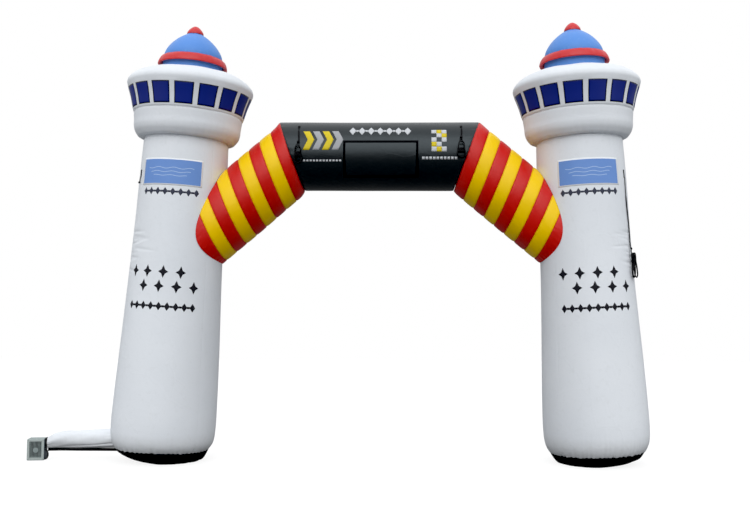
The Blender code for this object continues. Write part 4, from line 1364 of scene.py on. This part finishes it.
def makeTowerPrints(side):
    look, radius = windowLook, windowLook["radius"]
    middle, tall = (look["low"] + look["high"]) / 2, look["high"] - look["low"]
    spots = [(look["first"][side] + 360 / look["count"] * i, middle) for i in range(look["count"])]
    layOnTower("windows", dash(math.radians(look["width"]) * radius, tall), spots, side, "lantern", radius,
               printed["windowBlue"], "blue_cloth")
    look, radius = panelLook, panelLook["radius"]
    left, right = look["edges"][side]
    wide, tall = math.radians(right - left) * radius, look["high"] - look["low"]
    layOnTower("panel", dash(wide, tall), [((left + right) / 2, look["low"] + tall / 2)], side, "tower", radius,
               panelMaterial("panelBlue" + side.capitalize(), wide / 2), "blue_cloth")
    for name, (polygons, ink, radius, rows) in towerMarks.items():
        spots = [(starLook["middle"][side] + first + step * i, height)
                 for first, step, count, height in rows for i in range(count)]
        layOnTower(name, polygons, spots, side, "tower", radius, printed[ink], "black_cloth")
    print("prints on tower", side, "laid")


for side in towers:
    makeTowerPrints(side)


bannerShape = {"left": -0.520, "right": 0.583, "low": -45.0, "high": 18.0, "strip": 0.036, "lift": 0.0032,
               "thick": 0.0026}
chequer = {"cell": 0.074, "x": 0.886, "columns": 3, "rows": 5}
chevron = [[(-0.085, 0.160), (0.012, 0.160), (0.085, 0), (-0.012, 0)],
           [(-0.012, 0), (0.085, 0), (0.012, -0.160), (-0.085, -0.160)]]


def makeBeamPrints():
    def arc(degrees):
        return math.radians(degrees) * beamRadius

    def row(first, step, count, degrees):
        return [(first + step * i, arc(degrees)) for i in range(count)]

    # hook-and-loop frame for a hanging banner
    look = bannerShape
    low, high, s = arc(look["low"]), arc(look["high"]), look["strip"]
    left, right = look["left"], look["right"]
    bars = [rectangle(left, high - s, right, high), rectangle(left, low, right, low + s),
            rectangle(left, low + s, left + s, high - s), rectangle(right - s, low + s, right, high - s)]
    hook = clothMaterial("hookAndLoop", {**looks["blackCloth"], "colour": (0.004, 0.004, 0.005),
                                         "shade": (0.006, 0.006, 0.007), "roughness": 0.92, "specular": 0.15,
                                         "weave": 0.0040, "crumple": 0.002})
    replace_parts(layOnBeam("bannerFrame", bars, [(0, 0)], hook, "black_plastic", look), "banner_frame")
    cell = chequer["cell"]
    squares = [(chequer["x"] + cell * (i - 1), arc(19.5) + cell * (j - 2))
               for i in range(chequer["columns"]) for j in range(chequer["rows"])]
    for name, polygons, ink, spots in (
            ("chevronsYellow", chevron, "inkYellow", row(-1.028, 0.284, 2, 19.5)),
            ("chevronsGrey", chevron, "inkGrey", row(-0.886, 0.284, 2, 19.5)),
            ("chequerWhite", dash(cell, cell), "inkWhite", squares[0::2]),
            ("chequerYellow", dash(cell, cell), "inkYellow", squares[1::4]),
            ("titleMarks", lozenge(0.104, 0.165), "inkWhite", row(-0.380, 0.1345, 7, 37.5)),
            ("titleDashes", dash(0.036, 0.040), "inkWhite", row(-0.313, 0.1345, 6, 37.5)),
            ("smallDashesLeft", dash(0.032, 0.028), "inkWhite", row(-1.090, 0.048, 12, -15.5)),
            ("smallDashesRight", dash(0.038, 0.040), "inkWhite", row(0.655, 0.053, 10, -11.5))):
        layOnBeam(name, polygons, spots, printed[ink], "white_cloth")
    print("prints on beam laid")


makeBeamPrints()


def coatNode(node, material):
    # a solid whose own shape is right gets a finish
    for place in bpy.data.objects[node].material_slots:
        place.material = material


blowerFinish = {
    "case": (0.27, 0.33, 0.325), "frame": (0.40, 0.455, 0.445), "grille": (0.17, 0.215, 0.215),
    "hub": (0.23, 0.28, 0.28),
    # deep is painted shade in the recess and behind the grille's bars; shadedSide is painted shade on the side towards
    # the sleeve
    "deep": (0.012, 0.016, 0.018), "shadedSide": (0.060, 0.085, 0.115), "rough": 0.48,
    "half": (0.125, 0.110), "recess": {"wide": 0.0884, "tall": 0.1184, "middle": 0.160},
    "frontAt": -0.1085, "barsAt": -0.0965, "hubAt": -0.0985,
    "screw": 0.0048, "screwTall": 0.0026, "screwRise": 0.1375,
    "sideDeep": 0.004, "dust": (0.42, 0.43, 0.41),
}


def mouldedMaterial(name, kind):
    # pebbled moulded plastic, paler on its front frame, with painted shade deep in its openings and on its side towards
    # the sleeve
    look = blowerFinish
    material, tree, shader, space = startMaterial(name)

    def test(operation, *values):
        return maths(tree, operation, *values)

    moved = vectors(tree, "SUBTRACT", space, (archX + blower["x"], blower["y"], 0))
    own = apart(tree, made(tree, "ShaderNodeVectorRotate",
                           {"Vector": moved, "Angle": -math.radians(blower["turn"])}, rotation_type="Z_AXIS"))
    dust = noise(tree, space, 30.0, 6.0, 0.6)
    if kind == "case":
        recess = look["recess"]
        rise = test("ABSOLUTE", test("SUBTRACT", own["Z"], recess["middle"]))
        within = test("MULTIPLY", test("LESS_THAN", test("ABSOLUTE", own["X"]), recess["wide"]),
                      test("LESS_THAN", rise, recess["tall"]))
        behind = test("MULTIPLY", test("GREATER_THAN", own["Y"], look["frontAt"]), test("LESS_THAN", own["Y"], 0.0))
        deep = test("MULTIPLY", within, behind)
        # painted shade: the side towards the sleeve is coloured dark blue-grey
        shaded = test("GREATER_THAN", own["X"], look["half"][0] - look["sideDeep"])
        # the front frame is given a paler grey than the rest of the case
        colour = mixColour(tree, test("LESS_THAN", own["Y"], look["frontAt"]), look["case"], look["frame"])
        colour = mixColour(tree, shaded, colour, look["shadedSide"])
    else:
        deep = test("GREATER_THAN", own["Y"], look["barsAt"])
        colour = mixColour(tree, test("LESS_THAN", own["Y"], look["hubAt"]), look["grille"], look["hub"])
    # painted shade: inside the recess, and behind the grille's bars, the colour goes near black
    colour = mixColour(tree, deep, colour, look["deep"])
    colour = mixColour(tree, scaled(tree, dust, -0.25, 0.45), colour, look["dust"])
    pebbles, dents = noise(tree, space, 700.0, 2.0), noise(tree, space, 9.0, 3.0)
    return endMaterial(material, tree, shader, colour, (dust, look["rough"] - 0.08, look["rough"] + 0.10),
                       [(pebbles, 0.0004, 0.5), (dents, 0.0015, 0.3)], {"Specular IOR Level": 0.4})


def metalMaterial(name, colour, rough):
    material, tree, shader, space = startMaterial(name)
    spots = noise(tree, space, 160.0, 4.0, 0.7)
    return endMaterial(material, tree, shader, mixColour(tree, spots, colour, [c * 0.6 for c in colour]),
                       (spots, rough - 0.1, rough + 0.15), [(spots, 0.0003, 0.4)], {"Metallic": 0.9})


def rubberMaterial(name, rough):
    material, tree, shader, space = startMaterial(name)
    scuffs = noise(tree, space, 55.0, 6.0, 0.7)
    colour = mixColour(tree, scaled(tree, scuffs, -0.4, 1.0), (0.008, 0.008, 0.009), (0.045, 0.045, 0.045))
    return endMaterial(material, tree, shader, colour, (scuffs, rough - 0.1, rough + 0.1),
                       [(noise(tree, space, 900.0, 2.0), 0.0003, 0.5)], {"Specular IOR Level": 0.3})


def screwTree():
    # a screw head at every point of a mesh, all turned one way
    tree, given = newTree("screwHeads", {"Radius": "Float", "Tall": "Float", "Turn": "Vector"})
    head = made(tree, "GeometryNodeMeshCylinder", {"Vertices": 12, "Radius": given["Radius"], "Depth": given["Tall"]})
    return endTree(tree, given, setOut(tree, given["Geometry"], head, given["Turn"]))


def finishBlower():
    look = blowerFinish
    coatNode("blower_case", mouldedMaterial("blowerPlastic", "case"))
    coatNode("blower_grille", mouldedMaterial("grillePlastic", "grille"))
    coatNode("outlet_flange", rubberMaterial("flangePlastic", 0.55))
    coatNode("side_handle", rubberMaterial("handleRubber", 0.70))
    strap = clothMaterial("tabWebbing", {**looks["blackCloth"], "weave": 0.0016, "roughness": 0.75, "specular": 0.2,
                                         "crumple": 0.002})
    for part in ("beam", "tower"):
        for side in towers:
            coatNode("tab_" + part + "_" + side, strap)
    turn = math.radians(blower["turn"])
    middle = Vector((archX + blower["x"], blower["y"], 0))
    spin = Matrix.Rotation(turn, 4, "Z")
    across, high = (look["recess"]["wide"] + look["half"][0]) / 2, look["screwRise"]
    spots = [middle + spin @ Vector((x, -look["half"][1], look["recess"]["middle"] + z - 0.001))
             for x in (-across, across) for z in (-high, high)]
    screws = runTree("blowerScrews", spotsObject("screwSpots", spots), screwTree(), {
        "Radius": look["screw"], "Tall": look["screwTall"], "Turn": (math.pi / 2, 0.0, turn),
        "Finish": metalMaterial("screwSteel", (0.45, 0.45, 0.44), 0.35)})
    dress(screws, "black_plastic")
    print("blower and tabs finished")


finishBlower()


stitchLook = {"pitch": 0.0120, "long": 0.0080, "thick": 0.0011, "out": 0.0006}
whiteThread = {"colour": (0.62, 0.64, 0.67), "slot": "white_cloth"}
blackThread = {"colour": (0.012, 0.012, 0.014), "slot": "black_cloth"}
threadLook = {
    "tower": whiteThread, "collar": whiteThread, "lantern": whiteThread, "base": blackThread, "beamTube": blackThread,
    "domeRing": {"colour": (0.40, 0.03, 0.03), "slot": "red_cloth"},
    "arm": {"colour": (0.10, 0.02, 0.015), "slot": "red_cloth"},
}


def threadMaterial(name, colour):
    material, tree, shader, space = startMaterial(name)
    twist = addNode(tree, "ShaderNodeTexWave", {"Vector": space, "Scale": 420.0, "Distortion": 2.0}).outputs["Fac"]
    return endMaterial(material, tree, shader, mixColour(tree, twist, colour, [c * 0.7 for c in colour]),
                       (twist, 0.45, 0.65), [(twist, 0.0002, 0.5)], {})


def stitchTree():
    # short few-sided threads set end to end along closed lines
    tree, given = newTree("seamStitches", {"Pitch": "Float", "Long": "Float", "Thick": "Float"})
    path = made(tree, "GeometryNodeMeshToCurve", {"Mesh": given["Geometry"]})
    path = made(tree, "GeometryNodeResampleCurve", {"Curve": path, "Length": given["Pitch"]}, mode="LENGTH")
    turn = made(tree, "FunctionNodeAlignRotationToVector", {"Vector": made(tree, "GeometryNodeInputTangent")}, axis="Z")
    thread = made(tree, "GeometryNodeMeshCylinder", {"Vertices": 5, "Radius": given["Thick"], "Depth": given["Long"]})
    return endTree(tree, given, setOut(tree, path, thread, turn))


def makeStitches():
    tree, look = stitchTree(), stitchLook
    finishes = {kind: threadMaterial(kind + "Thread", thread["colour"]) for kind, thread in threadLook.items()}
    for name in sorted({name for name, line in seamPaths}):
        points, edges = [], []
        for line in [line for other, line in seamPaths if other == name]:
            out = line - line.mean(axis=0)
            out /= np.linalg.norm(out, axis=1)[:, None]
            first, count = len(points), len(line)
            points += (line + out * look["out"]).tolist()
            edges += [(first + i, first + (i + 1) % count) for i in range(count)]
        kind = name.replace("Left", "").replace("Right", "")
        seam = runTree("stitches" + name[0].upper() + name[1:], spotsObject(name + "Seams", points, edges), tree, {
            "Pitch": look["pitch"], "Long": look["long"], "Thick": look["thick"], "Finish": finishes[kind]})
        dress(seam, threadLook[kind]["slot"])
    print("seams stitched")


makeStitches()


stageLook = {
    "size": 60, "under": 0.0006, "floor": (0.16, 0.16, 0.16), "glow": 0.86,   # how far the floor is lifted to white
    "ground": (0.10, 0.10, 0.10), "low": (0.30, 0.31, 0.32), "sky": (1.10, 1.12, 1.14),
    "lowAt": 0.10, "skyAt": 0.62,                              # rise of the horizon's haze and of the full sky
    "sideLights": 75, "sideSize": 6.0, "sidePlace": (9.5, -5.0, 4.5), "sideAim": (3.2, 0, 3.0),
    "key": 1.15, "keyTilt": 58, "keyWide": 60, "black": 0.010,
}


def softLight(name, place, aim, energy, size):
    light = bpy.data.lights.new(name, "AREA")
    light.energy = energy
    light.size = size
    turned = (Vector(aim) - Vector(place)).to_track_quat("-Z", "Y").to_matrix().to_4x4()
    makeObject(name, light).matrix_world = Matrix.Translation(place) @ turned


def makeFloor():
    mesh = bpy.data.meshes.new("floor")
    half, pale = stageLook["size"] / 2, stageLook["floor"]
    mesh.from_pydata([(x, y, -stageLook["under"]) for x, y in rectangle(-half, -half, half, half)], [],
                     [(0, 1, 2, 3)])
    floor = makeObject("floor", mesh)
    material, tree, shader, space = startMaterial("paleFloor")
    ray = made(tree, "ShaderNodeLightPath")          # 1 for what the camera sees
    feed(tree, shader, {
        "Base Color": mixColour(tree, noise(tree, space, 1.5, 5.0), pale, [c * 0.98 for c in pale]),
        "Roughness": 0.9, "Specular IOR Level": 0.2, "Emission Color": (1, 1, 1, 1),
        "Emission Strength": maths(tree, "MULTIPLY", ray, stageLook["glow"])})
    mesh.materials.append(material)


def makeSky():
    world = bpy.data.worlds.new("sky")
    bpy.context.scene.world = world
    world.use_nodes = True
    tree = world.node_tree
    tree.nodes.clear()
    rise = apart(tree, addNode(tree, "ShaderNodeTexCoord").outputs["Generated"])["Z"]
    upper = scaled(tree, rise, 0.0, 1.0, stageLook["lowAt"], stageLook["skyAt"])
    sky = mixColour(tree, upper, stageLook["low"], stageLook["sky"])
    sky = mixColour(tree, maths(tree, "GREATER_THAN", rise, 0.0), stageLook["ground"], sky)
    lit, seen = (made(tree, "ShaderNodeBackground", {"Color": colour, "Strength": 1.0})
                 for colour in (sky, (1, 1, 1, 1)))
    ray = made(tree, "ShaderNodeLightPath")          # 1 for what the camera sees
    addNode(tree, "ShaderNodeOutputWorld", {"Surface": made(tree, "ShaderNodeMixShader", {0: ray, 1: lit, 2: seen})})


def makeLights():
    look = stageLook
    for name, side in (("Left", -1), ("Right", 1)):
        place, aim = ((archX + side * x, y, z) for x, y, z in (look["sidePlace"], look["sideAim"]))
        softLight("sideLight" + name, place, aim, look["sideLights"], look["sideSize"])
    light = bpy.data.lights.new("softSun", "SUN")
    light.energy = look["key"]
    light.angle = math.radians(look["keyWide"])
    makeObject("softSun", light).rotation_euler = (math.radians(look["keyTilt"]), 0, 0)
    viewing = bpy.context.scene.view_settings
    viewing.view_transform = "Standard"
    viewing.use_curve_mapping = True                 # deep blacks, as a camera gives them
    viewing.curve_mapping.black_level = (look["black"],) * 3
    viewing.curve_mapping.update()


makeFloor()
makeSky()
makeLights()
